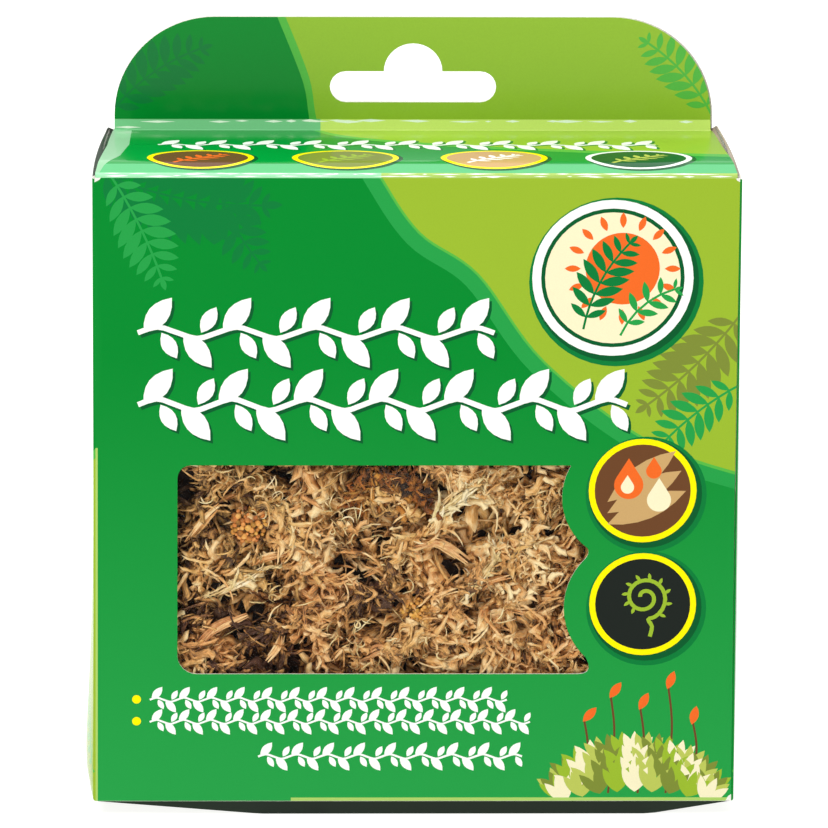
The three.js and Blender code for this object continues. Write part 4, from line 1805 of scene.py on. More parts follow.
@dataclass(frozen=True)
class BranchletShape:
    """One hanging branchlet of a dried sphagnum stem, drawn along +Z.

    Attributes:
        flatness: Its thickness as a share of its width.
        bend: How far its tip hangs to one side, as a share of its length.
        sway: How far its middle goes sideways, as a share of its length.
        rings: Sections along it.
        scales: Small leaves that stand off it.
    """

    length: float
    width: float
    flatness: float
    bend: float
    sway: float
    rings: int
    scales: int
    seed: int

    def _middle(self, t: float) -> Triple:
        """Its middle line at t, which is 0 at its root and 1 at its tip.

        Args:
            t: A share of the length.

        Returns:
            The place, in metres.
        """
        ripple = CURL * self.length * sin(2.6 * pi * t + self.seed)
        x = self.sway * self.length * sin(pi * t) + ripple
        return x, self.bend * self.length * t * t, self.length * t * (1 - 0.3 * abs(self.bend) * t)

    def build(self, name: str) -> Piece:
        """Makes the branchlet's closed mesh, which no scene shows.

        Args:
            name: Its name.

        Returns:
            The object.
        """
        rng = Random(self.seed)
        points: list[Triple] = []
        grain: list[Triple] = []
        faces: list[tuple[int, ...]] = [(3, 2, 1, 0)]
        for i in range(self.rings):
            t = i / self.rings
            fat = self.width / 2 * (0.35 + 0.65 * sin(pi * (0.2 + 0.66 * t)) ** 0.7)
            fat *= 1 + (0.16 if i % 2 else -0.1) + rng.uniform(-0.08, 0.08)
            x, y, z = self._middle(t)
            for dx, dy in ((-1, 0.15), (0.1, -self.flatness), (1, 0.1), (-0.1, self.flatness * 0.7)):
                points.append((x + fat * dx, y + fat * dy, z))
                grain.append((fat * dx, t * self.length, dy))
        points.append(self._middle(1.0))
        grain.append((0, self.length, 0))
        tip = 4 * self.rings
        for i, k in product(range(self.rings - 1), range(4)):
            a, b = 4 * i + k, 4 * i + (k + 1) % 4
            faces.append((a, b, b + 4, a + 4))
        faces += [(tip - 4 + k, tip - 4 + (k + 1) % 4, tip) for k in range(4)]
        for i in range(self.scales):
            corners, marks, sides = self._scale(rng, (i + 0.6) / (self.scales + 0.6))
            faces += [tuple(len(points) + k for k in side) for side in sides]
            points += corners
            grain += marks
        mesh = bpy.data.meshes.new(name)
        mesh.from_pydata([Vector(p) * MM for p in points], [], faces, shade_flat=False)
        layer = mesh.attributes.new("grain", "FLOAT_VECTOR", "POINT")
        layer.data.foreach_set("vector", np.array(grain, np.float32).ravel())
        return bpy.data.objects.new(name, mesh)

    def _scale(
        self, rng: Random, t: float
    ) -> tuple[list[Triple], list[Triple], list[tuple[int, ...]]]:
        """A small pointed leaf, a thin four-faced spike that stands off the branchlet.

        Args:
            rng: The random source.
            t: Where along the branchlet it stands.

        Returns:
            Its points, their grain and its faces.
        """
        x, y, z = self._middle(t)
        side = rng.choice((-1, 1))
        ranges = ((0.16, 0.26), (0.45, 0.9), (0.35, 0.75), (-0.5, 0.5))
        wide, long, out, lift = (self.width * rng.uniform(*ends) for ends in ranges)
        foot, reach = side * self.width * 0.22, t * self.length
        corners = [
            (x + foot, y + wide * 0.4, z - wide), (x + foot, y - wide * 0.6, z),
            (x + foot * 1.2, y + wide * 0.2, z + wide), (x + side * out, y + lift, z + long),
        ]
        grain = [(foot, reach, 3), (foot + wide, reach, 3), (foot, reach + wide, 3), (foot, reach + long, 3)]
        return corners, grain, [face[::side] for face in ((0, 1, 2), (0, 3, 1), (1, 3, 2), (2, 3, 0))]


class MossTrees:
    """The Geometry Nodes trees that turn spines into moss."""

    def __init__(self) -> None:
        """Makes the trees and the branchlets that they copy."""
        near = (
            (3.4, 2.5, 0.70, 0.30, 0.14, 5, 4, 1), (6.4, 2.5, 0.48, 0.36, 0.18, 7, 3, 2),
            (8.4, 1.9, 0.52, 0.42, -0.18, 8, 3, 3), (4.4, 2.8, 0.55, 0.40, 0.16, 6, 4, 4),
            (5.6, 1.7, 0.60, -0.60, 0.28, 7, 2, 5), (7.6, 1.1, 0.70, 0.60, 0.32, 8, 0, 6),
        )
        plain = (
            (8.4, 2.4, 0.36, 0.22, 0.10, 4, 1, 6), (9.6, 2.0, 0.36, 0.36, -0.12, 4, 1, 7),
            (7.4, 2.8, 0.30, 0.14, 0.08, 4, 1, 8),
        )
        self.near = self._collection("near_branchlets", near)
        self.plain = self._collection("plain_branchlets", plain)
        self.leafy = self._leafy_tree()
        self.thread = self._thread_tree()
        self.grains = self._grain_tree()

    @staticmethod
    def _collection(name: str, shapes: Sequence[tuple[float, ...]]) -> bpy.types.Collection:
        """A collection of branchlets, each given by the fields of its shape.

        Args:
            name: The collection's name.
            shapes: The fields of each shape.

        Returns:
            The collection.
        """
        group = bpy.data.collections.new(name)
        for i, shape in enumerate(shapes):
            group.objects.link(BranchletShape(*shape).build(f"{name}_{i + 1}"))
        return group

    @staticmethod
    def _tree(name: str, inputs: dict[str, float | int | str]) -> tuple[Tree, bpy.types.NodeOutputs, Adder]:
        """A tree with a geometry input and output.

        Args:
            name: Its name.
            inputs: The names of its other inputs, each with its value or, in words, its kind.

        Returns:
            The tree, the sockets that give its inputs, and add_node bound to it.
        """
        tree = bpy.data.node_groups.new(name, "GeometryNodeTree")
        tree.interface.new_socket("Geometry", in_out="OUTPUT", socket_type="NodeSocketGeometry")
        for label, value in {"Geometry": "Geometry", **inputs}.items():
            kind = value if isinstance(value, str) else type(value).__name__.capitalize()
            socket = tree.interface.new_socket(label, in_out="INPUT", socket_type=f"NodeSocket{kind}")
            if kind != value:
                socket.default_value = value
        add = partial(add_node, tree)
        return tree, add("NodeGroupInput").node.outputs, add

    @staticmethod
    def _lines(add: Adder, edges: Socket) -> Socket:
        """Smooth curves through lines of mesh edges."""
        lines = add("GeometryNodeMeshToCurve", {"Mesh": edges})
        return add("GeometryNodeCurveSplineType", {"Curve": lines}, spline_type="CATMULL_ROM")

    @staticmethod
    def _marked(add: Adder, made: Socket, values: dict[str, Socket], domain: str = "INSTANCE") -> Socket:
        """Stores values on geometry under their names, a vector where the name is grain.

        Args:
            add: add_node, bound to the tree.
            made: The geometry.
            values: What is stored, by name.
            domain: What it is stored on.

        Returns:
            The marked geometry.
        """
        for key, value in values.items():
            kind = "FLOAT_VECTOR" if key == "grain" else "FLOAT"
            inputs = {"Geometry": made, "Name": key, "Value": value}
            made = add(STORE, inputs, data_type=kind, domain=domain)
        return made

    @staticmethod
    def _end(add: Adder, made: Socket, material: Socket) -> None:
        """Ends a tree in Realize Instances and Set Material.

        Args:
            add: add_node, bound to the tree.
            made: The geometry.
            material: Its material.
        """
        solid = add(REALIZE, {"Geometry": made})
        finish = add("GeometryNodeSetMaterial", {"Geometry": solid, "Material": material})
        add("NodeGroupOutput", {"Geometry": finish})

    def _leafy_tree(self) -> Tree:
        """Branchlets set round each line at an even spacing, leaning along it.

        Returns:
            The tree.
        """
        sizes = {"Spacing": 0.9 * MM, "Lean": 0.2, "Lean Spread": 0.24, "Size Spread": 0.3}
        kinds = {"Tint Spread": 0.22, "Seed": 1, "Branchlets": "Collection", "Material": "Material"}
        tree, given, add = self._tree("leafy_stem", sizes | kinds)

        def chance(low: float, high: float, shift: int) -> Socket:
            """A random number for each point, from low to high, apart from those of other shifts."""
            seed = add(MATHS, {0: given["Seed"], 1: float(shift)}, operation="ADD")
            return add(CHANCE, {2: low, 3: high, "Seed": seed}, 1, data_type="FLOAT")

        def spread(name: str, shift: int, middle: Any) -> Socket:
            """A random number for each point, about a middle value."""
            values = {0: given[name], 1: chance(-1.0, 1.0, shift), 2: middle}
            return add(MATHS, values, operation="MULTIPLY_ADD")

        even = {"Curve": self._lines(add, given["Geometry"]), "Length": given["Spacing"]}
        spots = add("GeometryNodeCurveToPoints", even, mode="LENGTH")
        tangent = spots.node.outputs["Tangent"]
        rotation = add("FunctionNodeAlignRotationToVector", {"Vector": tangent}, axis="Z")
        lean = add(MATHS, {0: spread("Lean Spread", 2, given["Lean"]), 1: -1.0}, operation="MULTIPLY")
        for axis, angle in (("Z", chance(0.0, tau, 1)), ("X", lean)):
            euler = add("FunctionNodeEulerToRotation", {0: add(COMBINE, {axis: angle})})
            turn = {"Rotation": rotation, "Rotate By": euler}
            rotation = add("FunctionNodeRotateRotation", turn, rotation_space="LOCAL")
        girth, tint, warmth = (add(STORED, {"Name": key}) for key in ("girth", "tint", "warmth"))
        size = add(MATHS, {0: girth, 1: spread("Size Spread", 3, 1.0)}, operation="MULTIPLY")
        branchlets = {"Collection": given["Branchlets"], "Separate Children": True, "Reset Children": True}
        shapes = add("GeometryNodeCollectionInfo", branchlets)
        pick = add(MATHS, {0: chance(0.0, 97.0, 4)}, operation="FLOOR")
        copies = {"Points": spots, "Instance": shapes, "Pick Instance": True, "Instance Index": pick}
        kept = add(COPIES, copies | {"Rotation": rotation, "Scale": size})
        marks = {"tint": spread("Tint Spread", 5, tint), "warmth": spread("Tint Spread", 6, warmth)}
        kept = self._marked(add, kept, marks | {"offset": chance(0.0, 60.0, 7)})
        drawn = add(STORED, {"Name": "grain"}, data_type="FLOAT_VECTOR")
        offset = add(STORED, {"Name": "offset"})
        grain = add(VECTOR_MATHS, {0: drawn, 1: add(COMBINE, {"X": offset, "Z": offset})})
        solid = add(REALIZE, {"Geometry": kept})
        self._end(add, self._marked(add, solid, {"grain": grain}, "POINT"), given["Material"])
        return tree

    def _thread_tree(self) -> Tree:
        """Thin round threads along the lines, pointed at both ends.

        Returns:
            The tree.
        """
        inputs = {"Thickness": 0.4 * MM, "Step": 0.9 * MM, "Material": "Material"}
        tree, given, add = self._tree("moss_thread", inputs)
        smooth = {"Curve": self._lines(add, given["Geometry"]), "Length": given["Step"]}
        even = add("GeometryNodeResampleCurve", smooth, mode="LENGTH")
        share = add("GeometryNodeSplineParameter", out="Factor")
        marked = self._marked(add, even, {"along": share.node.outputs["Length"]}, "POINT")
        wave = add(MATHS, {0: share, 1: pi * 0.94}, operation="MULTIPLY")
        fat = add(MATHS, {0: wave}, operation="SINE")
        scale = add(MATHS, {0: fat, 1: 0.75, 2: 0.25}, operation="MULTIPLY_ADD")
        girth, along, around, tint = (
            add(STORED, {"Name": name}) for name in ("girth", "along", "around", "tint")
        )
        sized = add(MATHS, {0: scale, 1: girth}, operation="MULTIPLY")
        half = add(MATHS, {0: given["Thickness"], 1: 0.5}, operation="MULTIPLY")
        ring = add("GeometryNodeCurvePrimitiveCircle", {"Resolution": 6, "Radius": half}, mode="RADIUS")
        turned = self._marked(add, ring, {"around": add("GeometryNodeInputIndex")}, "POINT")
        section = {"Curve": marked, "Profile Curve": turned, "Scale": sized, "Fill Caps": True}
        tube = add("GeometryNodeCurveToMesh", section)
        scales = {"X": (around, 0.25), "Y": (along, 1 / MM), "Z": (tint, 97.0)}
        parts = {axis: add(MATHS, {0: a, 1: b}, operation="MULTIPLY") for axis, (a, b) in scales.items()}
        grain = self._marked(add, tube, {"grain": add(COMBINE, parts)}, "POINT")
        self._end(add, grain, given["Material"])
        return tree

    def _grain_tree(self) -> Tree:
        """Round grains packed over a surface.

        Returns:
            The tree.
        """
        inputs = {"Pitch": 0.8 * MM, "Grain": 0.5 * MM, "Warmth": 0.5, "Seed": 3, "Material": "Material"}
        tree, given, add = self._tree("bud_grains", inputs)
        surface = {"Mesh": given["Geometry"], "Distance Min": given["Pitch"], "Density Max": 4e6}
        surface["Seed"] = given["Seed"]
        spots = add("GeometryNodeDistributePointsOnFaces", surface, distribute_method="POISSON")
        ball = add("GeometryNodeMeshIcoSphere", {"Radius": given["Grain"], "Subdivisions": 2})
        ball = add("GeometryNodeSetShadeSmooth", {"Geometry": ball})
        draws = (("size", 0.55, 1.25, 5), ("tint", 0.3, 0.95, 6), ("warmth", 0.0, given["Warmth"], 7))
        values = {
            key: add(CHANCE, {2: low, 3: high, "Seed": seed}, 1, data_type="FLOAT")
            for key, low, high, seed in draws
        }
        kept = add(COPIES, {"Points": spots, "Instance": ball, "Scale": values.pop("size")})
        self._end(add, self._marked(add, kept, values), given["Material"])
        return tree

    def grow(self, base: Piece, tree: Tree, **values: Any) -> Piece:
        """Runs a tree on an object and keeps the result as that object's plain mesh.

        Args:
            base: The object that holds the lines or surface.
            tree: The tree.
            values: The tree's inputs, with "_" for a space in a name.

        Returns:
            The same object.
        """
        modifier = base.modifiers.new("grow", "NODES")
        modifier.node_group = tree
        items = tree.interface.items_tree
        sockets = {item.name: item.identifier for item in items if item.in_out == "INPUT"}
        for name, value in values.items():
            modifier[sockets[name.replace("_", " ")]] = value
        evaluated = base.evaluated_get(bpy.context.evaluated_depsgraph_get())
        mesh = bpy.data.meshes.new_from_object(evaluated)
        base.modifiers.remove(modifier)
        old, base.data = base.data, mesh
        bpy.data.meshes.remove(old)
        mesh.name = base.name
        return base

    def clear(self) -> None:
        """Removes the branchlets that the trees copied."""
        for group in (self.near, self.plain):
            for shape in list(group.objects):
                bpy.data.objects.remove(shape)
            bpy.data.collections.remove(group)


def centreline(node: str, count: int = 6) -> list[Vector]:
    """Points along the middle of a CAD strand, in millimetres.

    Args:
        node: The strand's node.
        count: How many points to return.

    Returns:
        The points, from one end of the strand to the other.
    """
    coords = np.array([v.co for v in frame["nodes"][node].data.vertices]) / MM
    middle = coords.mean(0)
    _, _, axes = np.linalg.svd(coords - middle, full_matrices=False)
    along = (coords - middle) @ axes[0]
    cuts = np.linspace(along.min(), along.max(), count)
    reach = (cuts[1] - cuts[0]) * 0.75
    return [Vector(coords[np.abs(along - cut) < reach].mean(0)) for cut in cuts]


@dataclass
class MossClump:
    """The pressed clump of dried sphagnum: an inner mass painted dark as shade, under layers of leafy stems.

    Attributes:
        hidden_pitch: The spacing of the stems on the faces that the carton hides.
        top_pitch: The spacing on the top, which an open lid shows.
        gaps: Places of the window where nothing lies in front of the dark inside.
        frayed: Stems over the leafy ones: three places, width, tint and warmth.
        bunches: Bunches of threads: a place, their spread and how many.
    """

    finishes: Finishes
    trees: MossTrees
    window: WindowCut = WindowCut()
    hidden_pitch: float = 9.2
    top_pitch: float = 5.6
    gaps: tuple[Triple, ...] = (
        (-60.5, 84.5, 5.6), (-61.0, 76.0, 4.0), (-57.5, 55.5, 5.6), (-50.0, 56.0, 4.2), (-44.0, 55.5, 3.2),
        (-48.0, 80.0, 4.2), (-45.0, 67.0, 2.8), (-46.0, 43.5, 3.0), (-38.9, 48.8, 3.6), (-36.5, 86.2, 2.2),
        (-34.0, 58.4, 2.8), (-29.0, 42.2, 2.8), (-21.5, 69.6, 2.8), (-16.0, 45.6, 2.4), (-12.0, 85.5, 3.6),
        (-4.0, 85.5, 4.2), (3.0, 85.5, 3.0), (-3.0, 54.8, 4.2), (12.4, 43.2, 2.4), (18.2, 69.7, 2.4),
        (26.5, 74.3, 3.4), (27.5, 87.0, 4.6), (34.5, 89.0, 4.2), (32.8, 60.4, 3.2), (26.9, 48.6, 3.2),
        (43.5, 37.5, 3.4),
    )
    frayed: tuple[tuple[Any, ...], ...] = (
        ((-59, 69), (-54, 75), (-50, 79), 2.2, 0.55, 0.6), ((-42, 63), (-38, 65), (-33, 66), 2.0, 0.6, 0.9),
        ((-34, 45), (-35, 41), (-38, 37), 2.0, 0.5, 0.9), ((-21, 37), (-18, 40), (-15, 39), 1.8, 0.75, 0.5),
        ((4, 35), (11, 38), (23, 41), 1.3, 0.95, 0.2), ((-7, 43), (-1, 42), (5, 44.5), 1.3, 0.9, 0.2),
        ((16, 56), (20, 58.5), (25, 60), 2.0, 0.42, 1.0),
        ((19, 52), (17.6, 49), (20.5, 46), 1.3, 0.45, 0.95),
        ((24, 51), (31, 50), (38, 52), 1.8, 0.66, 0.95), ((2.5, 48), (6.5, 51), (11, 52), 1.4, 0.7, 0.5),
        ((6, 78), (12, 83), (20, 87), 1.8, 0.85, 0.1), ((3, 71), (6, 74.5), (8, 79), 2.6, 0.95, 0.1),
        ((-13, 60), (-8, 62), (-3, 60), 1.4, 0.6, 0.8), ((-29, 56), (-24, 52), (-21, 47), 1.6, 0.6, 0.8),
    )
    bunches: tuple[tuple[float, float, float, int], ...] = (
        (-37, 79, 5, 14), (-16, 71, 5, 20), (-23, 76, 4, 10), (-16, 44, 5, 14), (-50, 86, 5, 12),
        (-35, 55, 3, 8), (33, 62, 5, 12), (36, 81, 4, 10), (20, 49, 2.5, 8), (13, 86, 6, 12),
        (-6, 60, 5, 8), (2, 42, 6, 12), (-8, 62, 50, 60),
    )

    def build(self) -> list[Piece]:
        """Builds every piece of the clump and seats it.

        Returns:
            The pieces.
        """
        self.low, self.high = box_mm("moss_mat")
        pieces = [self._inner_mass(), *self._window_layers(), *self._outer_layers(), *self._strands()]
        return [*pieces, self._window_ropes(), self._threads(), *self._bud_heads(), self._tuft()]

    def _press(self, piece: Piece) -> Piece:
        """Presses what stands past the carton's walls back, as the board and film do.

        Args:
            piece: The piece.

        Returns:
            The same piece.
        """
        slack, give = 0.5, 0.08  # where the pressing starts, and the share that is left of the excess
        mesh = piece.data
        coords = np.empty(len(mesh.vertices) * 3, np.float32)
        mesh.vertices.foreach_get("co", coords)
        coords = coords.reshape(-1, 3)
        for axis in range(3):
            floor, ceiling = (self.low[axis] + slack) * MM, (self.high[axis] - slack) * MM
            values = coords[:, axis]
            values = np.where(values < floor, floor + (values - floor) * give, values)
            coords[:, axis] = np.where(values > ceiling, ceiling + (values - ceiling) * give, values)
        mesh.vertices.foreach_set("co", coords.ravel())
        mesh.update()
        return piece

    def _stems(
        self, name: str, spines: Sequence[Spine], kind: Moss, node: str = "moss_mat",
        tree: Tree | None = None, **values: Any,
    ) -> Piece:
        """Grows stems on spines, presses them inside the carton and seats them.

        Args:
            name: The piece's name.
            spines: The spines.
            kind: The tissue.
            node: The CAD node that the piece stands for.
            tree: The tree that grows them, if not the leafy one with its near branchlets.
            values: The tree's inputs.

        Returns:
            The piece.
        """
        if tree is None:
            values = {"Branchlets": self.trees.near, **values}
        values["Material"] = self.finishes.moss[kind]
        piece = self.trees.grow(spine_lines(name, spines), tree or self.trees.leafy, **values)
        return seat(self._press(piece), CARTON_BODY, kind.value.slot, node)

    def _threaded(self, name: str, spines: Sequence[Spine], kind: Moss, node: str = "moss_mat") -> Piece:
        """Grows round threads on spines, presses them inside the carton and seats them."""
        return self._stems(name, spines, kind, node, self.trees.thread, Thickness=0.36 * MM, Step=0.6 * MM)

    def _inner_mass(self) -> Piece:
        """The lumpy inside, painted dark as shade, seen only in gaps between stems.

        Returns:
            The piece.
        """
        inset, set_back, lumps = 3.4, 9.2, ((7.0, 2.2), (2.6, 0.9))  # lumps: their span and height
        shell = bmesh.new()
        bmesh.ops.create_cube(shell, size=1)
        bmesh.ops.subdivide_edges(shell, edges=shell.edges[:], cuts=22, use_grid_fill=True)
        centre = (self.low + self.high) / 2
        size = self.high - self.low - 2 * Vector((inset, inset, inset))
        for vertex in shell.verts:
            place = Vector(c * s for c, s in zip(vertex.co, size, strict=True)) + centre
            if vertex.co.y < -0.49:  # the front
                place.y = self.low.y + set_back
            lump = sum(noise.noise(place / span) * rise for span, rise in lumps)
            vertex.co = (place + (place - centre).normalized() * lump) * MM
        piece = shell_object("inner_moss", shell)
        piece.data.shade_smooth()
        for key, value in (("tint", 0.4), ("warmth", 0.5)):
            layer = piece.data.attributes.new(key, "FLOAT", "POINT")
            layer.data.foreach_set("value", [value] * len(piece.data.vertices))
        piece.data.materials.append(self.finishes.moss[Moss.SHADE])
        return seat(piece, CARTON_BODY, Moss.SHADE.value.slot, "moss_mat")

    def _open(self, x: float, z: float) -> bool:
        """Whether a place of the window is left as a dark gap."""
        return any(hypot(x - gx, z - FOOT_RISE - gz) < r for gx, gz, r in self.gaps)

    def _window_spines(
        self, seed: int, columns: int, rows: int, depth: float, lift: float, girth: float, shade: float
    ) -> list[Spine]:
        """Ropes of two to four spines spread behind the window, none of them over a gap.

        Args:
            seed: The random source's seed.
            columns: Cells across.
            rows: Cells up.
            depth: Distance of the layer behind the clump's front.
            lift: How far a stem rises towards the film at its middle.
            girth: The stems' size.
            shade: What is taken off their tint.

        Returns:
            The spines.
        """
        rng = Random(seed)
        x0, x1 = self.window.left - 5, self.window.foot[0] + 8
        z0, z1 = self.window.bottom - 5 + FOOT_RISE, self.window.top + 6 + FOOT_RISE
        spines = []
        for column, row in product(range(columns), range(rows)):
            x = x0 + (x1 - x0) * (column + rng.uniform(0.1, 0.9)) / columns
            z = z0 + (z1 - z0) * (row + rng.uniform(0.1, 0.9)) / rows
            heading, length = rng.uniform(0, tau), rng.uniform(13, 30)
            y = self.low.y + depth + rng.uniform(-0.8, 0.8)
            start = Vector((x - length / 2 * cos(heading), y, z - length / 2 * sin(heading)))
            points = wander(rng, start, heading, length, 0.24, -lift * rng.uniform(0.3, 1.0))
            tint, warmth = rng.gauss(-0.05, 0.10) - shade, rng.gauss(0, 0.16)
            size = girth * rng.uniform(0.8, 1.15)
            spines += self._bundle(rng, points, rng.choice((2, 3, 3, 4)), size, tint, warmth)
        return spines

    def _runs(self, line: Iterable[Vector]) -> list[list[Vector]]:
        """The parts of a line that lie clear of the gaps.

        Args:
            line: The line's points.

        Returns:
            The points of each part that is left.
        """
        runs: list[list[Vector]] = [[]]
        for point in line:
            if self._open(point.x, point.z):
                runs.append([])
            else:
                runs[-1].append(point)
        return [run for run in runs if len(run) > 1]

    def _bundle(
        self, rng: Random, line: Sequence[Vector], count: int, size: float, tint: float, warmth: float
    ) -> list[Spine]:
        """Spines that run side by side, as the stems of one matted rope do.

        Args:
            rng: The random source.
            line: The rope's middle.
            count: How many spines it has.
            size: Their girth.
            tint: What is added to the tint of the places that they cross.
            warmth: The same for their warmth.

        Returns:
            The spines, without what would lie over a gap.
        """
        along = (line[-1] - line[0]).normalized()
        side = along.cross(Vector((0, 1, 0))).normalized()
        spines = []
        for k in range(count):
            slip = 1.7 * size * (k - (count - 1) / 2)
            back = Vector((0, rng.uniform(-0.3, 1.2), 0))
            points = [
                p + side * (slip + rng.gauss(0, 0.25)) + along * rng.gauss(0, 0.5) + back for p in line
            ]
            girth = size * rng.uniform(0.85, 1.15)
            tones = (girth, tint + rng.gauss(0, 0.07), warmth + rng.gauss(0, 0.08), True)
            spines += [Spine(run, *tones) for run in self._runs(points)]
        return spines

    def _window_layers(self) -> list[Piece]:
        """The three layers of stems behind the window.

        Returns:
            The pieces.
        """
        near, plain = self.trees.near, self.trees.plain
        layers = (
            ("moss_window_front", 11, near, 1.1, (8, 5, 2.6, 1.2, 0.92, 0.0)),
            ("moss_window_middle", 12, near, 1.3, (10, 6, 4.6, 1.4, 1.0, 0.08)),
            ("moss_window_rear", 13, plain, 1.6, (12, 7, 7.0, 1.0, 1.1, 0.2)),
        )
        return [
            self._stems(
                name, self._window_spines(seed, *layout), Moss.TAN, Branchlets=group, Seed=seed,
                Spacing=spacing * MM,
            )
            for name, seed, group, spacing, layout in layers
        ]

    def _face_spines(self, axis: int, sign: int, pitch: float) -> list[Spine]:
        """Spines over one face of the clump, leaving the window's place on the front.

        Args:
            axis: The face's axis, 0 to 2.
            sign: The side of the clump that it is on.
            pitch: The spacing of the stems.

        Returns:
            The spines.
        """
        rng = Random(40 + 3 * axis + sign)
        one, two = (k for k in range(3) if k != axis)
        low, high = [value + 2 for value in self.low], [value - 2 for value in self.high]
        level = self.high[axis] if sign > 0 else self.low[axis]
        columns, rows = (max(1, round((high[k] - low[k]) / pitch)) for k in (one, two))
        window, spines = self.window, []
        for i, k in product(range(columns), range(rows)):
            u = low[one] + (high[one] - low[one]) * (i + rng.random()) / columns
            v = low[two] + (high[two] - low[two]) * (k + rng.random()) / rows
            if axis == 1 and sign < 0 and window.left - 3 < u < window.foot[0] + 6:
                if window.bottom - 3 < v - FOOT_RISE < window.top + 3:
                    continue
            heading, length = rng.uniform(0, tau), rng.uniform(16, 28)
            flat = wander(rng, Vector((0, rng.uniform(1.4, 3.4), 0)), heading, length, 0.2, -1.0)
            points = []
            for p in flat:
                place = [level - sign * p.y] * 3
                place[one] = min(max(u + p.x - flat[3].x, low[one]), high[one])
                place[two] = min(max(v + p.z - flat[3].z, low[two]), high[two])
                points.append(Vector(place))
            tint, warmth = 0.5 + rng.gauss(0, 0.14), 0.55 + rng.gauss(0, 0.25)
            spines.append(Spine(points, rng.uniform(0.85, 1.2), tint, warmth))
        return spines

    def _outer_layers(self) -> list[Piece]:
        """Plainer stems over the faces that the carton hides.

        Returns:
            The pieces.
        """
        wide, close = self.hidden_pitch, self.top_pitch
        groups = {
            "moss_front_edges": ((1, -1, wide),), "moss_back": ((1, 1, wide),),
            "moss_ends_and_top": ((0, -1, wide), (0, 1, wide), (2, 1, close), (2, -1, wide)),
        }
        pieces = []
        for seed, (name, faces) in enumerate(groups.items(), 50):
            spines = [spine for face in faces for spine in self._face_spines(*face)]
            values = {"Branchlets": self.trees.plain, "Seed": seed, "Spacing": 3.1 * MM, "Lean_Spread": 0.3}
            pieces.append(self._stems(name, spines, Moss.TAN, **values))
        return pieces

    def _strands(self) -> list[Piece]:
        """The named stems and ribbons that lie in front of the rest.

        Returns:
            The pieces.
        """
        pieces = []
        for label, count, kind, lift, girth, spacing in (
            ("moss_leafy_stem", 9, Moss.TAN, 0.06, 0.8, 0.8),
            ("moss_pale_stem", 3, Moss.PALE, -0.1, 0.85, 0.9),
        ):
            for i in range(1, count + 1):
                line, tint, warmth = self._foremost(f"{label}_{i}")
                spines = [Spine(line, girth, min(0.9, tint + lift), warmth)]
                values = {"Seed": 70 + i, "Spacing": spacing * MM, "Lean": 0.3}
                pieces.append(self._stems(f"{label}_{i}_leaves", spines, kind, f"{label}_{i}", **values))
        rng = Random(90)
        for label, suffix, kind, width, tint in (
            ("moss_pale_stem", "fibres", Moss.PALE, 2.6, 0.45),
            ("moss_ribbon", "strands", Moss.BROWN, 2.8, 0.62),
        ):
            for i in range(1, 4):
                line, _, warmth = self._foremost(f"{label}_{i}")
                spines = self._rope(rng, line, width, tint, warmth)
                pieces.append(self._threaded(f"{label}_{i}_{suffix}", spines, kind, f"{label}_{i}"))
        return pieces

    def _foremost(self, node: str) -> tuple[list[Vector], float, float]:
        """A strand's centreline, brought forward to the film, and the tint and warmth there."""
        line = [Vector((p.x, self.low.y + 1.5, p.z)) for p in centreline(node)]
        return line, *tone_at(line[2].x, line[2].z)

    def _rope(
        self, rng: Random, line: Sequence[Vector], width: float, tint: float, warmth: float
    ) -> list[Spine]:
        """The strands of a flattened, frayed stem, side by side along a line.

        Args:
            rng: The random source.
            line: The stem's middle.
            width: Its width.
            tint: The strands' tint, about which each varies.
            warmth: The same for their warmth.

        Returns:
            The strands' spines.
        """
        count, last = max(3, round(width / 0.42)), len(line) - 1
        spines = []
        for k in range(count):
            share = (k + 0.5) / count * 2 - 1
            phase, sway = rng.uniform(0, tau), rng.uniform(0.1, 0.3)
            points = []
            for i in range(rng.randint(0, 1), last + 1 - rng.randint(0, 1)):
                along = (line[min(i + 1, last)] - line[max(i - 1, 0)]).normalized()
                side, t = along.cross(Vector((0, 1, 0))).normalized(), i / last
                taper = 0.45 + 0.55 * sin(pi * min(1, 0.15 + 0.8 * t))
                off = share * width / 2 * taper + sway * sin(5 * t + phase)
                rise = 0.3 * width * (1 - share * share) + sway * cos(6 * t + phase)
                points.append(line[i] + side * off - Vector((0, rise, 0)))
            girth = rng.uniform(1.4, 2.9)
            spines.append(Spine(points, girth, tint + rng.gauss(0, 0.16), warmth + rng.gauss(0, 0.15)))
        return spines

    def _window_ropes(self) -> Piece:
        """More frayed stems of straw and tan that lie over the leafy ones.

        Returns:
            The piece.
        """
        rng, spines = Random(17), []
        for *ends, width, tint, warmth in self.frayed:
            line = [Vector((x, self.low.y + 2.4, z + FOOT_RISE)) for x, z in curve(ends, 3)]
            spines += self._rope(rng, line, width, tint, warmth)
        return self._threaded("moss_window_ropes", spines, Moss.TAN)

    def _threads(self) -> Piece:
        """Cream threads, the bare ends of branchlets, curled in small frayed bunches.

        Returns:
            The piece.
        """
        rng, spines = Random(21), []
        for x0, z0, spread, count in self.bunches:
            main, stray = rng.uniform(0, tau), 0.6 if spread < 10 else 3.0
            for _ in range(count):
                x = x0 + rng.uniform(-1, 1) * spread
                z = z0 + rng.uniform(-1, 1) * min(spread, 26) + FOOT_RISE
                if self._open(x, z):
                    continue
                start = Vector((x, self.low.y + rng.uniform(0.6, 2.2), z))
                curl = rng.choice((0.18, 0.32, 0.5))
                line = wander(rng, start, rng.gauss(main, stray), rng.uniform(2.5, 7), curl, -0.8)
                spines.append(Spine(line, rng.uniform(0.6, 1.6), rng.uniform(0.0, 0.7), rng.random() * 0.7))
        return self._threaded("moss_threads", spines, Moss.PALE)

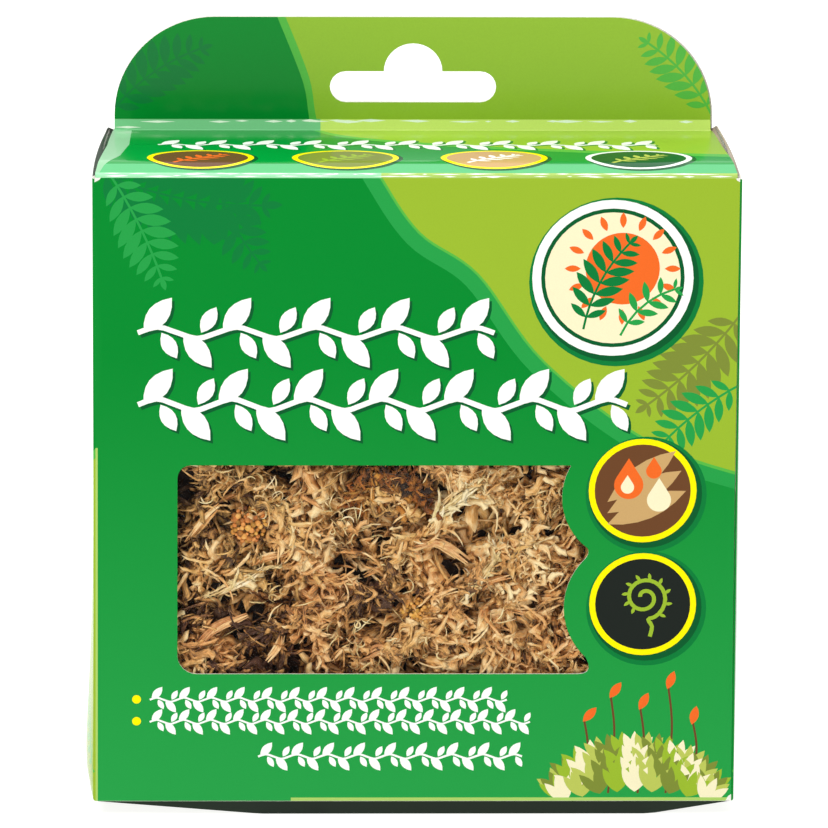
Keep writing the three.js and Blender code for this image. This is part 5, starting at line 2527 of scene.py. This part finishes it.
    def _bud_heads(self) -> list[Piece]:
        """Clusters of amber grains.

        Returns:
            The pieces.
        """
        pieces = []
        for i, grain, warmth in ((1, 0.74, 1.4), (2, 0.56, 0.5)):
            node = f"moss_bud_head_{i}"
            piece = self.trees.grow(
                self._dome(f"{node}_grains", *box_mm(node)), self.trees.grains, Pitch=1.35 * grain * MM,
                Grain=grain * MM, Warmth=warmth, Seed=i, Material=self.finishes.moss[Moss.BUDS],
            )
            pieces.append(seat(piece, CARTON_BODY, Moss.BUDS.value.slot, node))
        return pieces

    def _tuft(self) -> Piece:
        """The stained tuft at the window's top.

        Returns:
            The piece.
        """
        low, high = box_mm("moss_stained_tuft")
        rng, spines, count = Random(31), [], 36
        for i in range(count):
            x = low.x + 1 + (high.x - low.x - 2) * (i + rng.random()) / count
            z = rng.uniform(low.z + 7, high.z + 2)
            start = Vector((x, rng.uniform(low.y + 0.5, high.y - 2.5), z))
            line = wander(rng, start, rng.gauss(-1.6, 0.5), rng.uniform(4.5, 7.5), 0.16, -0.8)
            tint = 1.1 - 0.75 * (z - low.z) / (high.z - low.z) + rng.gauss(0, 0.12)
            spines.append(Spine(line, rng.uniform(0.6, 0.95), tint, rng.random()))
        values = {"Seed": 32, "Spacing": 1.1 * MM}
        return self._stems("moss_stained_tuft_leaves", spines, Moss.AMBER, "moss_stained_tuft", **values)

    @staticmethod
    def _dome(name: str, low: Vector, high: Vector) -> Piece:
        """The front half of an ellipsoid between two corners, slightly inset.

        Args:
            name: The object's name.
            low: The lowest corner.
            high: The highest.

        Returns:
            The object.
        """
        ball = bmesh.new()
        bmesh.ops.create_icosphere(ball, subdivisions=3, radius=0.5)
        bmesh.ops.delete(ball, geom=[v for v in ball.verts if v.co.y > 0.12], context="VERTS")
        centre, size = (low + high) / 2, (high - low) * 0.88
        for vertex in ball.verts:
            vertex.co = Vector(c * s for c, s in zip(vertex.co, size, strict=True)) + centre
            vertex.co *= MM
        return shell_object(name, ball)


# ---- studio


@dataclass(frozen=True)
class SoftBox:
    """A rectangular area light that points at the carton."""

    name: str
    place: Triple
    size: Pair
    watts: float


@dataclass(frozen=True)
class Studio:
    """A pale floor, a white surround, soft lights and the camera."""

    target: Triple = (0.27, 0.0, 101.6)
    distance: float = 2008.0
    azimuth: float = -1.34
    elevation: float = 14.8
    roll: float = 0.37
    lens: float = 336.3
    surround: float = 0.3
    glow: float = 0.92
    boxes: tuple[SoftBox, ...] = (
        SoftBox("key", (-650, -900, 1250), (450, 450), 12.4),
        SoftBox("overhead", (-150, 100, 1450), (900, 900), 13.0),
        SoftBox("right_fill", (1150, -1000, 420), (700, 700), 3.0),
        SoftBox("rear_panel", (0, 1500, 1350), (2400, 1300), 14.0),
    )

    def build(self) -> None:
        """Puts everything in the scene."""
        scene = bpy.context.scene
        scene.view_settings.view_transform = "Standard"
        scene.cycles.use_denoising = True
        self._floor()
        world = bpy.data.worlds.new("surround")
        world.use_nodes = True
        sky = {"Color": linear("#FFFFFA"), "Strength": self.surround}
        feed(world.node_tree.nodes["Background"], sky)
        scene.world = world
        target = Vector(self.target) * MM
        for box in self.boxes:
            light = bpy.data.lights.new(box.name, "AREA")
            light.shape, light.energy = "RECTANGLE", box.watts
            light.size, light.size_y = (side * MM for side in box.size)
            lamp = placed(box.name, light)
            lamp.location = Vector(box.place) * MM
            lamp.rotation_euler = (target - lamp.location).to_track_quat("-Z", "Y").to_euler()
        az, el = radians(self.azimuth), radians(self.elevation)
        back = Vector((sin(az) * cos(el), -cos(az) * cos(el), sin(el)))
        lens = bpy.data.cameras.new("camera")
        lens.lens, lens.sensor_width = self.lens, 36.0
        scene.camera = placed("camera", lens)
        scene.camera.location = target + back * self.distance * MM
        scene.camera.rotation_euler = (-back).to_track_quat("-Z", "Y").to_euler()
        scene.camera.rotation_euler.rotate_axis("Z", radians(self.roll))

    def _floor(self) -> None:
        """A wide pale sheet under the carton."""
        mesh = bpy.data.meshes.new("floor")
        mesh.from_pydata([(x, y, 0) for x, y in rectangle(-8, -8, 8, 8)], [], [(0, 1, 2, 3)])
        paper, shader, _ = new_material("pale_paper")
        feed(shader, {"Base Color": linear("#949492"), "Roughness": 0.9})
        feed(shader, {"Emission Color": linear("#FFFFFC"), "Emission Strength": self.glow})
        mesh.materials.append(paper)
        placed("floor", mesh)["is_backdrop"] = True


# ---- assembly


def main() -> None:
    """Builds the studio, the carton and the moss, and reports each piece."""
    logging.basicConfig(level=logging.INFO, format="%(message)s", stream=sys.stdout)
    Studio().build()
    finishes = Finishes()
    carton = Carton(CartonSizes.from_frame(), finishes)
    trees = MossTrees()
    pieces = carton.build() + MossClump(finishes, trees).build()
    trees.clear()
    total = sum(len(p.data.loop_triangles) or len(p.data.polygons) for p in pieces)
    log.info("%d pieces, about %d faces", len(pieces), total)
    sizes = {"cad": CAD_BOX, "visual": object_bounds()}
    {key: [list(corner) for corner in box] for key, box in sizes.items()}


if __name__ == "__main__":
    main()
